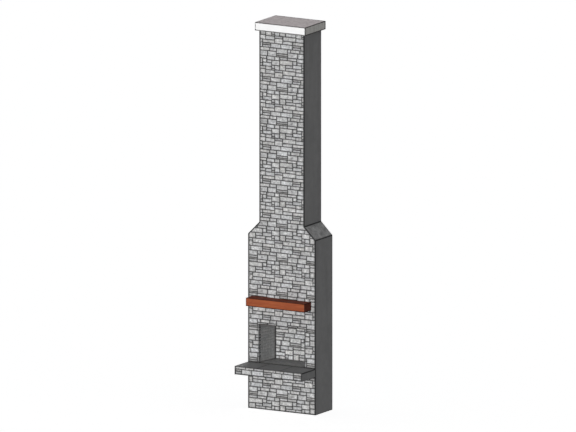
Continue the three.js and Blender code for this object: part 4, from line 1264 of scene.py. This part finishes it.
# ---------------------------------------------------------------- light
world = bpy.data.worlds.new("studio")
world.use_nodes = True
world.node_tree.nodes["Background"].inputs["Color"].default_value = (0.175, 0.176, 0.178, 1)
world.node_tree.nodes["Background"].inputs["Strength"].default_value = 1.0
bpy.context.scene.world = world


def plane_mesh(name, co, faces, emission, diffuse):
    me = bpy.data.meshes.new(name)
    me.from_pydata(co, [], faces)
    me.update()
    obj = bpy.data.objects.new(name, me)
    bpy.context.scene.collection.objects.link(obj)
    mat = bpy.data.materials.new(name)
    mat.use_nodes = True
    sh = mat.node_tree.nodes["Principled BSDF"]
    sh.inputs["Base Color"].default_value = (diffuse,) * 3 + (1,)
    sh.inputs["Roughness"].default_value = 1.0
    sh.inputs["Specular IOR Level"].default_value = 0.0
    sh.inputs["Emission Color"].default_value = (1, 1, 1, 1)
    sh.inputs["Emission Strength"].default_value = emission
    me.materials.append(mat)
    obj.visible_diffuse = obj.visible_glossy = obj.visible_transmission = False
    return obj


R = 320.0
floor = plane_mesh("floor", [(-R, -R, -0.0005), (R, -R, -0.0005), (R, R, -0.0005), (-R, R, -0.0005)], [(0, 1, 2, 3)], 0.86, 0.80)
dome_co, dome_faces = [], []
SEG, RINGS = 48, 16
for i in range(RINGS + 1):
    e = math.radians(-90 + 180 * i / RINGS)
    for k in range(SEG):
        a = 2 * math.pi * k / SEG
        dome_co.append((400 * math.cos(e) * math.cos(a), 400 * math.cos(e) * math.sin(a), 400 * math.sin(e)))
for i in range(RINGS):
    for k in range(SEG):
        dome_faces.append((i * SEG + k, i * SEG + (k + 1) % SEG, (i + 1) * SEG + (k + 1) % SEG, (i + 1) * SEG + k)[::-1])
backdrop = plane_mesh("backdrop", dome_co, dome_faces, 1.0, 0.0)
backdrop.visible_shadow = False

not_floor = bpy.data.collections.new("not_lit_by_suns")
not_floor.objects.link(floor)
not_floor.objects.link(backdrop)


def sun(name, azimuth, elevation, strength, angle, colour=(1, 1, 1)):
    data = bpy.data.lights.new(name, "SUN")
    data.energy = strength
    data.angle = math.radians(angle)
    data.color = colour
    obj = bpy.data.objects.new(name, data)
    bpy.context.scene.collection.objects.link(obj)
    a, e = math.radians(azimuth), math.radians(elevation)
    toward = Vector((math.sin(a) * math.cos(e), -math.cos(a) * math.cos(e), math.sin(e)))
    obj.rotation_mode = "QUATERNION"
    obj.rotation_quaternion = toward.to_track_quat("Z", "Y")
    obj.location = toward * 30
    obj.light_linking.receiver_collection = not_floor
    for item in not_floor.collection_objects:
        item.light_linking.link_state = "EXCLUDE"
    return obj


sun("key", 3.2, 5.0, 2.46, 9.0)
sun("top_fill", 0.0, 60.0, 0.40, 30.0)
sun("back_fill", 196.0, 14.0, 0.75, 40.0)

bpy.context.scene.view_settings.view_transform = "Standard"
bpy.context.scene.view_settings.look = "None"
